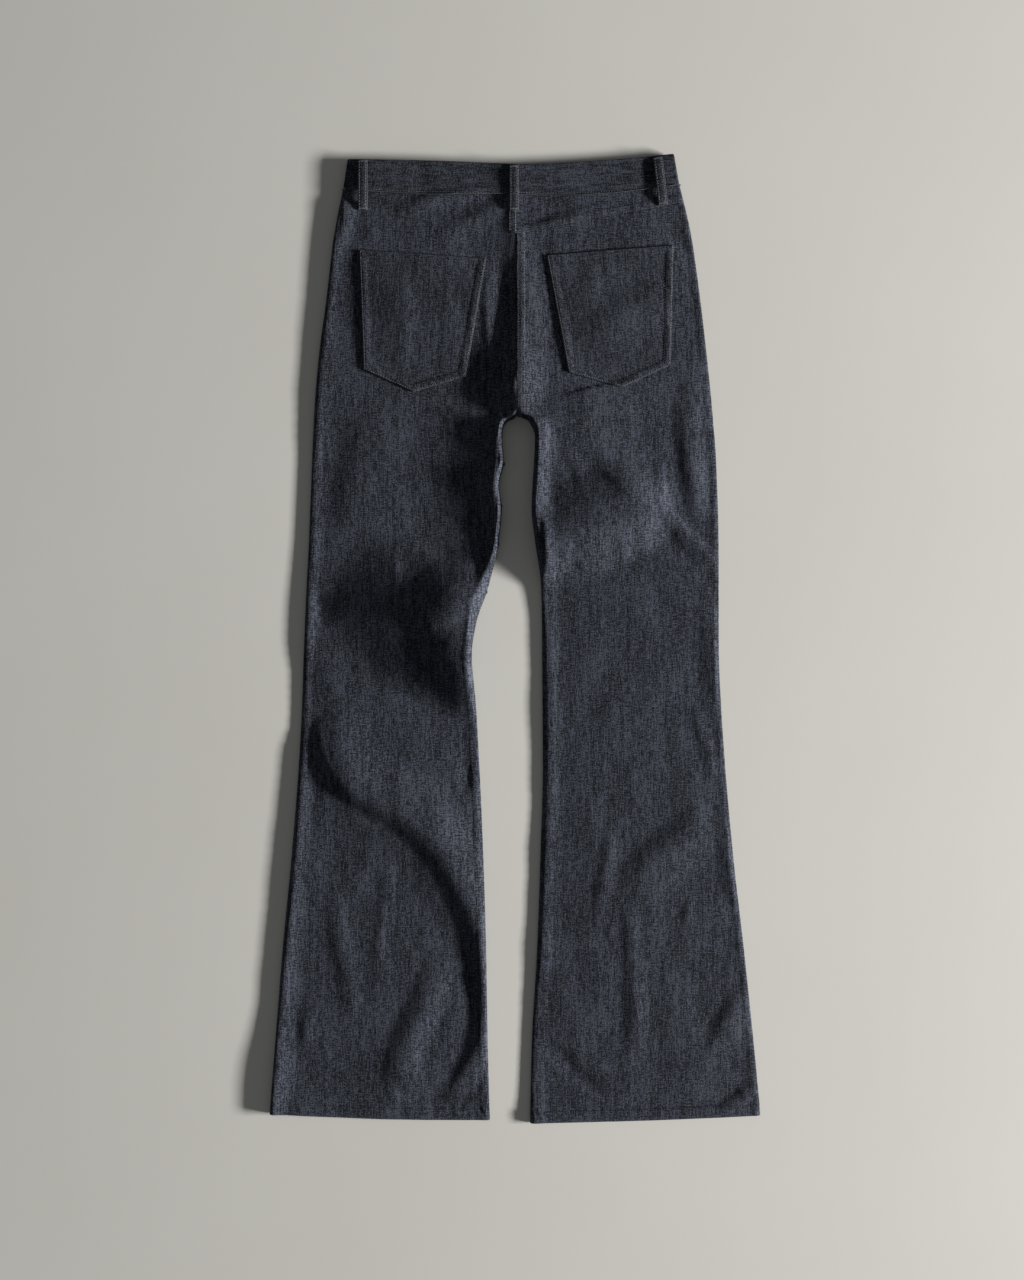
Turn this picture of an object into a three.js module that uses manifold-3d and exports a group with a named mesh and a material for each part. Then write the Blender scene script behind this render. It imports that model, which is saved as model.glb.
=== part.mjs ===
// Flared jeans laid flat on a floor, seat side up, in millimetres.
// +Z is up, +Y runs from the hems to the waist and +X is the wearer's right.
// Every panel is a thin wall: the seat side lies on the front, and the two meet at rounded edges.

import * as THREE from 'three';
import { mergeVertices } from 'three/addons/utils/BufferGeometryUtils.js';
import Module from 'manifold-3d';

// Driving dimensions: cloth
const CLOTH = 1.2;
const BAND_CLOTH = 2.4;
const HEM_CLOTH = 1.7;
const POCKET_CLOTH = 1.5;
const LOOP_CLOTH = 1.7;
const SEAM_GAP = 0.3;
const CENTRE_X = 2.5;

// Driving dimensions: waist
const FRONT_DIP = 35;
const FRONT_LIFT = 2.0;
const FRONT_LIFT_HELD = 25;
const FRONT_LIFT_GONE = 75;
const BAND_PROUD = 0.8;
const LAP_END = 9;
const UNDERLAP_END = -32;
const UNDERLAP_RISE_FROM = 57;
const UNDERLAP_RISE_TO = 30;

// Driving dimensions: trim
const LOOP_WIDTH = 11.2;
const LOOP_GAP = 4.5;
const LOOP_FOOT = 11;
const FRONT_LOOP_OUT = 103;
const FRONT_LOOP_LENGTH = 54;
const POCKET = { topHalf: 74.5, lowHalf: 60, side: 139, point: 161.5 };
const PLACKET = { reach: 34, seamSide: 8, length: 165, straight: 0.6, tip: 3 };
const BUTTON = { diameter: 17, high: 1.7, edge: 0.6, ahead: -7 };

// How the upper wall rounds down at an edge, as a share of its height and a least radius
const ROUND_SHARE = 0.14;
const ROUND_LEAST = 2;

// Columns across a panel, as distances in from its outer and inner ends
const OUTER_COLUMNS = [0, 0.5, 1.6, 3.4, 9];
const INNER_COLUMNS = [13, 8.5, 4.8, 2.2, 0.6, 0];
const BACK_MIDDLE = 10;
const FRONT_OUTER_COLUMNS = [0, 0.7, 2.8];
const FRONT_INNER_COLUMNS = [2.8, 0.7, 0];
const FRONT_MIDDLE = 7;

function table(columns, rows) {
  return rows.map((row) => Object.fromEntries(columns.map((name, i) => [name, row[i]])));
}

// Outline of each side from the waistband's top edge to the hem. The inner end lies on the centre
// seam above the crotch and on the inseam below it. A row bows by bow between its ends, and
// steps is how many rows of the mesh lead to the next line.
const OUTLINE = ['outerX', 'outerY', 'innerX', 'innerY', 'bow', 'steps'];
const WAIST_SEAM = 1;
const YOKE_SEAM = 2;
const CROTCH = 8;
const HEM_FOLD = 25;
const LEFT_OUTLINE = table(OUTLINE, [
  [-196.1, 561.5, CENTRE_X, 555.3, 1.0, 2],
  [-201.5, 526.4, CENTRE_X, 520.0, -2.4, 3],
  [-206.0, 505.2, CENTRE_X, 473.5, 0, 1],
  [-212.5, 470, CENTRE_X, 441, 0, 2],
  [-221.5, 396, CENTRE_X, 378, 0, 2],
  [-229.5, 336, CENTRE_X, 326, 0, 2],
  [-234.0, 288, CENTRE_X, 286, 0, 1],
  [-235.2, 270, CENTRE_X, 269, 0, 1],
  [-235.8, 261, CENTRE_X, 262, 0, 1],
  [-236.1, 254, -3.5, 257.2, 0, 1],
  [-236.5, 245, -9.5, 254.2, 0, 1],
  [-237.0, 235, -13.8, 247, 0, 1],
  [-237.6, 220, -14.8, 232, 0, 1],
  [-238.4, 200, -12.6, 208, 0, 1],
  [-239.2, 176, -18.6, 180, 0, 1],
  [-240.3, 150, -15.4, 152, 0, 1],
  [-241.6, 116, -18.7, 116, 0, 2],
  [-244.3, 64, -31.5, 60, 0, 2],
  [-246.3, 20, -45.5, 18, 0, 1],
  [-247.8, -18, -50.6, -20, 0, 2],
  [-249.8, -80, -45.4, -82, 0, 3],
  [-254.0, -155, -41.4, -155, 0, 3],
  [-262.0, -255, -37.0, -256, 0, 3],
  [-272.3, -362, -33.8, -363, 0, 3],
  [-280.4, -463, -32.0, -468, 0, 3],
  [-286.8, -544, -29.8, -550.5, -1.5, 1],
  [-287.2, -549.5, -29.6, -556.0, -1.7, 1],
  [-287.8, -557, -29.2, -564.0, -2.0, 1],
]);
const RIGHT_OUTLINE = table(OUTLINE, [
  [186.4, 568.0, CENTRE_X, 555.3, -2.2, 2],
  [192.9, 532.0, CENTRE_X, 520.0, -5.5, 3],
  [198.0, 511.7, CENTRE_X, 473.5, 0, 1],
  [207.0, 471, CENTRE_X, 441, 0, 2],
  [217.6, 397, CENTRE_X, 378, 0, 2],
  [224.6, 337, CENTRE_X, 326, 0, 2],
  [229.8, 288, CENTRE_X, 286, 0, 1],
  [231.4, 270, CENTRE_X, 269, 0, 1],
  [232.2, 261, CENTRE_X, 262, 0, 1],
  [232.7, 254, 9.0, 259.4, 0, 1],
  [233.4, 246, 15.0, 256.4, 0, 1],
  [234.4, 236, 19.4, 250.0, 0, 1],
  [235.3, 223, 23.6, 237, 0, 1],
  [236.3, 204, 22.4, 208, 0, 1],
  [237.2, 182, 20.8, 184, 0, 1],
  [238.3, 152, 19.6, 152, 0, 1],
  [239.0, 116, 23.4, 116, 0, 2],
  [239.2, 64, 30.6, 64, 0, 2],
  [239.2, 20, 31.8, 20, 0, 1],
  [239.4, -20, 32.0, -20, 0, 2],
  [242.2, -82, 32.5, -82, 0, 3],
  [247.2, -155, 32.8, -155, 0, 3],
  [256.3, -256, 30.0, -256, 0, 3],
  [268.5, -362, 26.2, -363, 0, 3],
  [279.2, -464, 20.2, -468, 0, 3],
  [287.0, -545.5, 18.0, -554.6, -1.2, 1],
  [287.3, -550.5, 18.0, -559.6, -1.2, 1],
  [287.8, -558.5, 18.0, -568.0, -1.2, 1],
]);

// Heights of the seat side by distance up the jeans. edge is the top of the outer edge, low the
// panel beside the inner end, the ridges the inner end of each side and the reaches how far they
// fall away, crown the rise between the ends and seam the height where the upper wall meets the lower.
const RIDGES = ['leftRidge', 'rightRidge', 'leftReach', 'rightReach'];
const HEIGHTS = table(['y', 'edge', 'low', ...RIDGES, 'crown', 'seam'], [
  [-568, 5.0, 4.8, 4.8, 4.8, 20, 20, 0.6, 2.7],
  [-540, 4.4, 4.2, 4.2, 4.2, 20, 20, 1.0, 2.5],
  [-440, 3.9, 3.8, 3.8, 3.8, 20, 20, 1.4, 2.4],
  [-200, 3.8, 3.7, 3.7, 3.7, 20, 20, 1.6, 2.4],
  [-90, 3.8, 3.7, 3.7, 3.7, 20, 20, 1.6, 2.4],
  [20, 3.8, 3.7, 5.0, 3.9, 20, 22, 1.6, 2.4],
  [58, 3.8, 3.8, 8.0, 6.4, 20, 24, 1.6, 2.4],
  [85, 3.7, 4.0, 11.0, 10.4, 20, 26, 1.6, 2.4],
  [116, 3.7, 4.0, 14.5, 12.0, 22, 26, 1.6, 2.4],
  [150, 3.7, 4.2, 16.0, 12.6, 24, 26, 1.6, 2.4],
  [245, 3.8, 4.6, 16.5, 12.8, 26, 26, 1.6, 2.4],
  [265, 4.0, 4.8, 18.0, 14.4, 28, 32, 1.6, 2.4],
  [309, 4.4, 5.4, 16.0, 16.0, 30, 40, 1.6, 2.6],
  [350, 4.8, 6.0, 12.4, 13.0, 28, 44, 1.6, 2.8],
  [400, 5.4, 6.8, 10.8, 11.6, 24, 44, 1.6, 3.0],
  [474, 6.6, 8.0, 9.8, 10.0, 20, 36, 1.4, 4.3],
  [524, 7.6, 8.6, 9.6, 9.6, 18, 30, 0.8, 5.1],
  [568, 7.8, 8.6, 9.6, 9.6, 16, 26, 0.6, 5.3],
]);

// The largest folds: the crest's points with their heights, and how far the fold falls away there
// on the left and right hand of somebody who walks along it. A negative height is a trough.
const CREST = ['x', 'y', 'high', 'left', 'right'];
const FOLDS = [
  {
    name: 'seat valley',
    crest: [
      [-10, 451, 0, 12, 14], [-10, 421, -1.7, 12, 14], [-11, 330, -1.7, 12, 14],
    ],
  },
  { name: 'crotch fold', crest: [[1, 317, 0, 11, 10], [-8, 291, 2.6, 11, 10], [-20, 266, 1.3, 11, 10]] },
  {
    name: 'left thigh skirt',
    crest: [
      [-18, 286, 0, 8, 60], [-18, 251, 3, 8, 92], [-18, 175, 3.2, 8, 90], [-25, 110, 3, 8, 70],
      [-39, 58, 0, 8, 50],
    ],
  },
  {
    name: 'left knee upper',
    crest: [
      [-18, 110, 0, 8, 60], [-32, 79, 8, 8, 110], [-45, 53, 16, 8, 172], [-53, 29, 18, 8, 180],
      [-55, -7, 17, 8, 150], [-54, -39, 14, 8, 110], [-50, -72, 8, 8, 60], [-49, -98, 0, 8, 30],
    ],
  },
  {
    name: 'left knee edge',
    crest: [
      [-34, 90, 0, 8, 70], [-43, 63, 5, 8, 92], [-53, 36, 5, 8, 88], [-54, 11, 2, 8, 60],
      [-54, -13, 0, 8, 40],
    ],
  },
  {
    name: 'left knee lower',
    crest: [
      [-133, 39, 0, 30, 14], [-119, 34, 4, 50, 30], [-90, 27, 6.4, 60, 56], [-60, 13, 8.5, 50, 72],
      [-46, -19, 9, 10, 76], [-46, -60, 7, 10, 56], [-49, -93, 0, 10, 30],
    ],
  },
  {
    name: 'left calf sweep',
    crest: [
      [-228, -86, 0, 60, 18], [-220, -133, 5, 60, 20], [-200, -167, 7, 60, 22], [-168, -187, 6.6, 60, 23],
      [-129, -208, 6.8, 60, 26], [-90, -239, 7.4, 48, 30], [-65, -277, 7.4, 36, 30], [-45, -324, 6.8, 26, 28],
      [-36, -377, 5.6, 20, 22], [-35, -436, 4.6, 20, 17], [-42, -477, 4, 20, 16], [-63, -516, 3.2, 22, 14],
      [-88, -539, 0, 22, 12],
    ],
  },
  {
    name: 'left hem fold',
    crest: [
      [-77, -363, 0, 26, 26], [-94, -403, 3.2, 26, 28], [-113, -448, 4.9, 27, 29], [-131, -489, 4.5, 28, 28],
      [-139, -532, 1.5, 26, 22],
    ],
  },
  {
    name: 'right thigh fold',
    crest: [
      [33, 86, 5, 30, 26], [53, 115, 9, 60, 46], [100, 132, 12, 76, 56], [138, 145, 12.4, 76, 56],
      [161, 155, 8, 70, 44], [180, 166, 0, 60, 30],
    ],
  },
  {
    name: 'right thigh rise',
    crest: [
      [4, 398, 0, 140, 26], [5, 316, 5, 180, 26], [7, 275, 8, 190, 20], [21, 234, 12, 190, 8],
      [24, 163, 11, 190, 8], [26, 110, 6, 170, 8], [35, 58, 0, 120, 8],
    ],
  },
  {
    name: 'right thigh branch',
    crest: [
      [168, 199, 0, 10, 11], [172, 175, 2.4, 10, 12], [179, 150, 3, 11, 15], [199, 125, 3.8, 12, 22],
      [226, 98, 2.8, 12, 20],
    ],
  },
  {
    name: 'right calf fold',
    crest: [
      [225, -193, 0, 30, 22], [206, -220, 3.8, 42, 26], [175, -249, 4.2, 48, 28], [149, -274, 2.6, 44, 26],
      [131, -295, 0, 34, 18],
    ],
  },
].map((fold) => ({ ...fold, crest: table(CREST, fold.crest) }));

const SIDES = {
  left: { name: 'left', rows: LEFT_OUTLINE, towards: -1 },
  right: { name: 'right', rows: RIGHT_OUTLINE, towards: 1 },
};

const mix = (from, to, share) => from + (to - from) * share;
const clamp = (value) => Math.min(Math.max(value, 0), 1);
const soft = (value) => clamp(value) ** 2 * (3 - 2 * clamp(value));
const quarter = (value) => Math.sqrt(1 - (1 - clamp(value)) ** 2);

// A column's value at a fractional row, on a curve that never overshoots the rows beside it.
function along(rows, column, at) {
  const last = rows.length - 1;
  const from = Math.min(Math.max(Math.floor(at), 0), last - 1);
  const step = (row) => rows[row + 1][column] - rows[row][column];
  const slope = (row) => {
    if (row === 0) return step(0);
    if (row === last) return step(last - 1);
    const product = step(row - 1) * step(row);
    return product > 0 ? (2 * product) / (step(row - 1) + step(row)) : 0;
  };
  const part = at - from;
  const rise = step(from);
  const lead = slope(from);
  const bend = 3 * rise - 2 * lead - slope(from + 1);
  const turn = lead + slope(from + 1) - 2 * rise;
  return rows[from][column] + part * (lead + part * (bend + part * turn));
}

function heightAt(column, y) {
  const top = HEIGHTS.length - 2;
  const found = HEIGHTS.findIndex((row, i) => i === top || y < HEIGHTS[i + 1].y);
  const share = clamp((y - HEIGHTS[found].y) / (HEIGHTS[found + 1].y - HEIGHTS[found].y));
  return along(HEIGHTS, column, found + share);
}

function rowEnds(side, at) {
  const value = (column) => along(side.rows, column, at);
  const gap = (side.towards * SEAM_GAP) / 2;
  return {
    outer: new THREE.Vector2(value('outerX'), value('outerY')),
    inner: new THREE.Vector2(value('innerX') + (at > CROTCH ? 0 : gap), value('innerY')),
    bow: value('bow'),
  };
}

function placeOn(ends, across) {
  const place = ends.outer.clone().lerp(ends.inner, across);
  place.y += ends.bow * 4 * across * (1 - across);
  return place;
}

// The nearest point of a chain of points: how far away it is, its place along the chain and
// whether the given point lies on the left hand of the chain.
function nearestOn(chain, x, y) {
  let best = { away: Infinity };
  for (let i = 0; i + 1 < chain.length; i += 1) {
    const [a, b] = [chain[i], chain[i + 1]];
    const [dx, dy] = [b.x - a.x, b.y - a.y];
    const share = clamp(((x - a.x) * dx + (y - a.y) * dy) / (dx * dx + dy * dy));
    const [offX, offY] = [x - a.x - dx * share, y - a.y - dy * share];
    const away = Math.hypot(offX, offY);
    if (away < best.away) best = { away, i, share, isLeft: dx * offY - dy * offX > 0 };
  }
  return best;
}

function foldHeight(x, y) {
  let sum = 0;
  for (const fold of FOLDS) {
    const near = nearestOn(fold.crest, x, y);
    const there = (column) => mix(fold.crest[near.i][column], fold.crest[near.i + 1][column], near.share);
    const reach = near.away / there(near.isLeft ? 'left' : 'right');
    if (reach < 1) sum += there('high') * (1 - reach * reach) ** 2;
  }
  return sum;
}

// The rounded edges of a side: its outer edge, and its inseam from the crotch down.
for (const side of Object.values(SIDES)) {
  const finest = 0.25;
  side.outerEdge = [];
  side.inseam = [];
  for (let at = 0; at <= side.rows.length - 1; at += finest) {
    const ends = rowEnds(side, at);
    side.outerEdge.push(ends.outer);
    if (at >= CROTCH) side.inseam.push(ends.inner);
  }
}

function edgeDistance(side, place) {
  const outer = nearestOn(side.outerEdge, place.x, place.y).away;
  return Math.min(outer, nearestOn(side.inseam, place.x, place.y).away);
}

function seamHeight(ends, across) {
  return mix(heightAt('seam', ends.outer.y), heightAt('seam', ends.inner.y), across);
}

// A point of the seat side's outer surface, at a row and a share of the way across it.
function backPoint(side, at, across, proud = 0, shift = 0) {
  const ends = rowEnds(side, at);
  const place = placeOn(ends, across);
  const low = heightAt('low', ends.inner.y);
  const ridge = heightAt(`${side.name}Ridge`, ends.inner.y) - low;
  const toInner = (1 - across) * ends.outer.distanceTo(ends.inner);
  const ridgeReach = heightAt(`${side.name}Reach`, ends.inner.y);
  let high = mix(heightAt('edge', ends.outer.y), low, across) + proud;
  high += heightAt('crown', place.y) * Math.sin(Math.PI * across);
  high += ridge * (1 - soft(toInner / ridgeReach));
  high += foldHeight(place.x, place.y);
  const seam = seamHeight(ends, across);
  const round = ROUND_SHARE * (high - seam) + ROUND_LEAST;
  high = mix(seam, high, quarter(edgeDistance(side, place) / round));
  return new THREE.Vector3(place.x, place.y + shift, high);
}

// A point of the front's outer surface, which lies on the floor and lifts towards the waist.
function frontPoint(side, at, across, gap, shift = 0) {
  const ends = rowEnds(side, at);
  const place = placeOn(ends, across);
  const waist = placeOn(rowEnds(side, WAIST_SEAM), across);
  const dip = FRONT_DIP * soft(across);
  const belowWaist = waist.y - dip - (place.y - dip * clamp(YOKE_SEAM - at));
  const lift = FRONT_LIFT * soft((FRONT_LIFT_GONE - belowWaist) / (FRONT_LIFT_GONE - FRONT_LIFT_HELD));
  const rise = seamHeight(ends, across) - gap - lift;
  const round = 0.6 * rise + 1.2;
  const high = lift + rise * (1 - quarter(edgeDistance(side, place) / round));
  return new THREE.Vector3(place.x, place.y - dip * clamp(YOKE_SEAM - at) + shift, high);
}

// Shares across a row for columns at set distances from its ends and even ones between them.
function columnShares(side, at, outerColumns, innerColumns, middle) {
  const ends = rowEnds(side, at);
  const width = ends.outer.distanceTo(ends.inner);
  const from = outerColumns.at(-1);
  const to = width - innerColumns[0];
  const between = Array.from({ length: middle }, (_, i) => mix(from, to, (i + 1) / (middle + 1)));
  const distances = [...outerColumns, ...between, ...innerColumns.map((inner) => width - inner)];
  return distances.map((distance) => distance / width);
}

const backShares = (side, at) => columnShares(side, at, OUTER_COLUMNS, INNER_COLUMNS, BACK_MIDDLE);
const frontShares = (side, at) =>
  columnShares(side, at, FRONT_OUTER_COLUMNS, FRONT_INNER_COLUMNS, FRONT_MIDDLE);

// The mesh rows between two outline lines, moved in by half a seam's gap at the sewn ends.
function meshRows(side, from, to, trimLast) {
  const rows = [];
  for (let line = from; line < to; line += 1) {
    const steps = side.rows[line].steps;
    for (let i = 0; i < steps; i += 1) rows.push({ at: line + i / steps, shift: 0 });
  }
  rows.push({ at: to, shift: trimLast ? SEAM_GAP / 2 : 0 });
  rows[0].shift = -SEAM_GAP / 2;
  return rows;
}

// Moves a grid of points along its normals. A rim's points keep their height and a centre seam's
// points stay in its plane, so that the cut edges of two walls that meet there face each other.
function offsetGrid(grid, distances, sign, edgeOf = () => 'none') {
  const lastRow = grid.length - 1;
  const lastColumn = grid[0].length - 1;
  return grid.map((row, i) => row.map((point, j) => {
    const down = grid[Math.min(i + 1, lastRow)][j].clone().sub(grid[Math.max(i - 1, 0)][j]);
    const over = row[Math.min(j + 1, lastColumn)].clone().sub(row[Math.max(j - 1, 0)]);
    const normal = down.cross(over);
    if (edgeOf(i, j) === 'rim') normal.z = 0;
    if (edgeOf(i, j) === 'seam') normal.x = 0;
    return point.clone().addScaledVector(normal.normalize(), sign * distances[i]);
  }));
}

// A closed solid between two grids of the same size.
function slab(upper, lower) {
  const rows = upper.length;
  const columns = upper[0].length;
  const points = [...upper.flat(), ...lower.flat()];
  const first = (i, j) => i * columns + j;
  const second = (i, j) => rows * columns + first(i, j);
  const faces = [];
  const quad = (a, b, c, d) => faces.push([a, b, c], [a, c, d]);
  for (let i = 0; i + 1 < rows; i += 1) {
    for (let j = 0; j + 1 < columns; j += 1) {
      quad(first(i, j), first(i + 1, j), first(i + 1, j + 1), first(i, j + 1));
      faces.push([second(i, j), second(i + 1, j + 1), second(i + 1, j)]);
      faces.push([second(i, j), second(i, j + 1), second(i + 1, j + 1)]);
    }
    quad(first(i, 0), second(i, 0), second(i + 1, 0), first(i + 1, 0));
    quad(first(i + 1, columns - 1), second(i + 1, columns - 1), second(i, columns - 1), first(i, columns - 1));
  }
  for (let j = 0; j + 1 < columns; j += 1) {
    quad(first(0, j + 1), second(0, j + 1), second(0, j), first(0, j));
    quad(first(rows - 1, j), second(rows - 1, j), second(rows - 1, j + 1), first(rows - 1, j + 1));
  }
  const volume = faces.reduce((sum, [a, b, c]) => {
    return sum + points[a].dot(new THREE.Vector3().crossVectors(points[b], points[c]));
  }, 0);
  const index = volume > 0 ? faces : faces.map(([a, b, c]) => [a, c, b]);
  const geometry = new THREE.BufferGeometry();
  geometry.setAttribute('position', new THREE.Float32BufferAttribute(points.flatMap((p) => p.toArray()), 3));
  geometry.setIndex(index.flat());
  geometry.computeVertexNormals();
  return geometry;
}

// Materials
const denim = (color) => new THREE.MeshStandardMaterial({ color, roughness: 0.92, metalness: 0 });
const panelCloth = denim(0x34363d);
const bandCloth = denim(0x2f3138);
const pocketCloth = denim(0x30333a);
const loopCloth = denim(0x2b2d34);
const buttonMetal = new THREE.MeshStandardMaterial({ color: 0x8a8478, roughness: 0.38, metalness: 1 });

const group = new THREE.Group();

function addPiece(name, geometry, material) {
  const mesh = new THREE.Mesh(geometry, material);
  mesh.name = name;
  group.add(mesh);
}

// How thick the cloth is at each row: the hems are turned in, so they are thicker
const clothOf = (rows) => rows.map(({ at }) => (at > HEM_FOLD ? HEM_CLOTH : CLOTH));

// Which edge of a panel a point of its grid lies on
function edgeFinder(rows, lastColumn) {
  return (i, j) => {
    if (j === 0) return 'rim';
    if (j < lastColumn) return 'none';
    return rows[i].at < CROTCH ? 'seam' : 'rim';
  };
}

// A piece of the seat side between two outline lines
function addBackPiece(name, side, rows) {
  const grid = rows.map(({ at, shift }) => backShares(side, at).map((across) => {
    return backPoint(side, at, across, 0, shift);
  }));
  const edgeOf = edgeFinder(rows, grid[0].length - 1);
  addPiece(name, slab(grid, offsetGrid(grid, clothOf(rows), side.towards, edgeOf)), panelCloth);
  return grid;
}

// Front panels
function addFrontLeg(side) {
  const lastLine = side.rows.length - 1;
  const rows = meshRows(side, WAIST_SEAM, lastLine, false).filter(({ at }) => {
    return at < YOKE_SEAM || Number.isInteger(at);
  });
  const grid = rows.map(({ at, shift }) => frontShares(side, at).map((across) => {
    return frontPoint(side, at, across, SEAM_GAP, shift);
  }));
  const edgeOf = edgeFinder(rows, grid[0].length - 1);
  const inside = offsetGrid(grid, clothOf(rows), -side.towards, edgeOf);
  addPiece(`front_leg_${side.name}`, slab(grid, inside), panelCloth);
}

// Patch pockets: the panel's own surface, moved out and cut to the pocket's outline
const wasm = await Module();
wasm.setup();

function toSolid(geometry) {
  const bare = geometry.clone();
  bare.deleteAttribute('normal');
  bare.deleteAttribute('uv');
  const merged = mergeVertices(bare);
  const mesh = new wasm.Mesh({
    numProp: 3,
    vertProperties: new Float32Array(merged.attributes.position.array),
    triVerts: new Uint32Array(merged.index.array),
  });
  return new wasm.Manifold(mesh);
}

function toGeometry(solid) {
  const mesh = solid.getMesh();
  const geometry = new THREE.BufferGeometry();
  geometry.setAttribute('position', new THREE.BufferAttribute(mesh.vertProperties, 3));
  geometry.setIndex(new THREE.BufferAttribute(mesh.triVerts, 1));
  geometry.computeVertexNormals();
  return geometry;
}

function addPocket(name, panel, topCentre, tilt) {
  const outline = new THREE.Shape([
    new THREE.Vector2(-POCKET.topHalf, 0),
    new THREE.Vector2(-POCKET.lowHalf, -POCKET.side),
    new THREE.Vector2(0, -POCKET.point),
    new THREE.Vector2(POCKET.lowHalf, -POCKET.side),
    new THREE.Vector2(POCKET.topHalf, 0),
  ]);
  const cutter = new THREE.ExtrudeGeometry(outline, { depth: 60, bevelEnabled: false });
  cutter.rotateZ(THREE.MathUtils.degToRad(tilt));
  cutter.translate(topCentre[0], topCentre[1], 0);
  const lowest = topCentre[1] - 1.3 * POCKET.point;
  const rows = panel.filter((row) => row[0].y > lowest);
  const lifted = (by) => rows.map((row) => row.slice(3, -2).map((p) => new THREE.Vector3(p.x, p.y, p.z + by)));
  const sheet = slab(lifted(SEAM_GAP + POCKET_CLOTH), lifted(SEAM_GAP));
  addPiece(name, toGeometry(toSolid(sheet).intersect(toSolid(cutter))), pocketCloth);
}

// Seat side: yokes and legs, with a pocket on each leg
const POCKET_PLACES = {
  left: { topCentre: [-107.9, 450.2], tilt: -3.9 },
  right: { topCentre: [111.4, 454.8], tilt: 4.6 },
};
for (const side of Object.values(SIDES)) {
  addBackPiece(`yoke_${side.name}`, side, meshRows(side, WAIST_SEAM, YOKE_SEAM, true));
  const legRows = meshRows(side, YOKE_SEAM, side.rows.length - 1, false);
  const panel = addBackPiece(`back_leg_${side.name}`, side, legRows);
  const { topCentre, tilt } = POCKET_PLACES[side.name];
  addPocket(`back_pocket_${side.name}`, panel, topCentre, tilt);
  addFrontLeg(side);
}

// Waistband: one strip from its buttoned end, round the seat and back to its underlap
function bandRow({ at, shift }) {
  const beyondCentre = (side, x) => {
    const ends = rowEnds(side, at);
    return (x - ends.outer.x) / (ends.inner.x - ends.outer.x);
  };
  const underside = (side, shares, lapped) => shares.map((across) => {
    const point = frontPoint(side, at, across, 0, shift);
    const lap = (UNDERLAP_RISE_FROM - point.x) / (UNDERLAP_RISE_FROM - UNDERLAP_RISE_TO);
    point.z += lapped ? (BAND_CLOTH + SEAM_GAP) * soft(lap) : 0;
    return point;
  });
  const upper = (side) => backShares(side, at).slice(0, -1).map((across) => {
    return backPoint(side, at, across, BAND_PROUD, shift);
  });
  const { left, right } = SIDES;
  const frontColumns = (side, ends) => {
    const beyond = ends.map((x) => beyondCentre(side, x));
    return [...frontShares(side, at).slice(1, -1), ...beyond];
  };
  const leftFront = underside(left, frontColumns(left, [LAP_END]), false);
  const rightFront = underside(right, frontColumns(right, [UNDERLAP_END / 2, UNDERLAP_END]), true);
  return [...leftFront.reverse(), ...upper(left), ...upper(right).reverse(), ...rightFront];
}
const bandRows = [{ at: 0, shift: 0 }, { at: 0.5, shift: 0 }, { at: 1, shift: SEAM_GAP / 2 }];
const bandGrid = bandRows.map(bandRow);
addPiece('waistband', slab(bandGrid, offsetGrid(bandGrid, bandRows.map(() => BAND_CLOTH), -1)), bandCloth);

// The height of the given pieces just above a place, as seen from above
const SAMPLE_REACH = 2;

function topOf(pieces, x, y) {
  const down = new THREE.Vector3(0, 0, -1);
  const heights = [-SAMPLE_REACH, 0, SAMPLE_REACH].map((shift) => {
    const ray = new THREE.Raycaster(new THREE.Vector3(x, y + shift, 100), down);
    return ray.intersectObjects(pieces)[0]?.point.z ?? 0;
  });
  return Math.max(...heights);
}

const piecesNamed = (pattern) => group.children.filter((mesh) => pattern.test(mesh.name));

// Fly placket: the hidden underlap of the front opening, on the inside of both front panels
function addPlacket() {
  const rows = 12;
  const columns = 4;
  const fronts = piecesNamed(/^front_leg/);
  const top = placeOn(rowEnds(SIDES.left, WAIST_SEAM), 1).y - FRONT_DIP - SEAM_GAP;
  const grid = (by) => Array.from({ length: rows }, (_, i) => {
    const down = i / (rows - 1);
    const curve = quarter((1 - down) / (1 - PLACKET.straight));
    const reach = mix(PLACKET.tip, PLACKET.reach, curve);
    const y = top - down * PLACKET.length;
    const ground = topOf(fronts, CENTRE_X - reach / 2, y) + SEAM_GAP;
    return Array.from({ length: columns }, (_unused, j) => {
      const x = mix(CENTRE_X - reach, CENTRE_X + PLACKET.seamSide, j / (columns - 1));
      return new THREE.Vector3(x, y, ground + by);
    });
  });
  addPiece('fly_placket', slab(grid(CLOTH), grid(0)), panelCloth);
}
addPlacket();

// Belt loops on the seat side: straps that arch over the waistband, from its top edge to the yoke
const BACK_LOOPS = table(['name', 'topX', 'topY', 'lowX', 'lowY'], [
  ['belt_loop_back_left', -177.9, 560.6, -177.9, 501.6],
  ['belt_loop_back_centre', -1.1, 553.9, -1.1, 500.2],
  ['belt_loop_back_right', 166.7, 564.0, 173.2, 507.4],
]);

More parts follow.
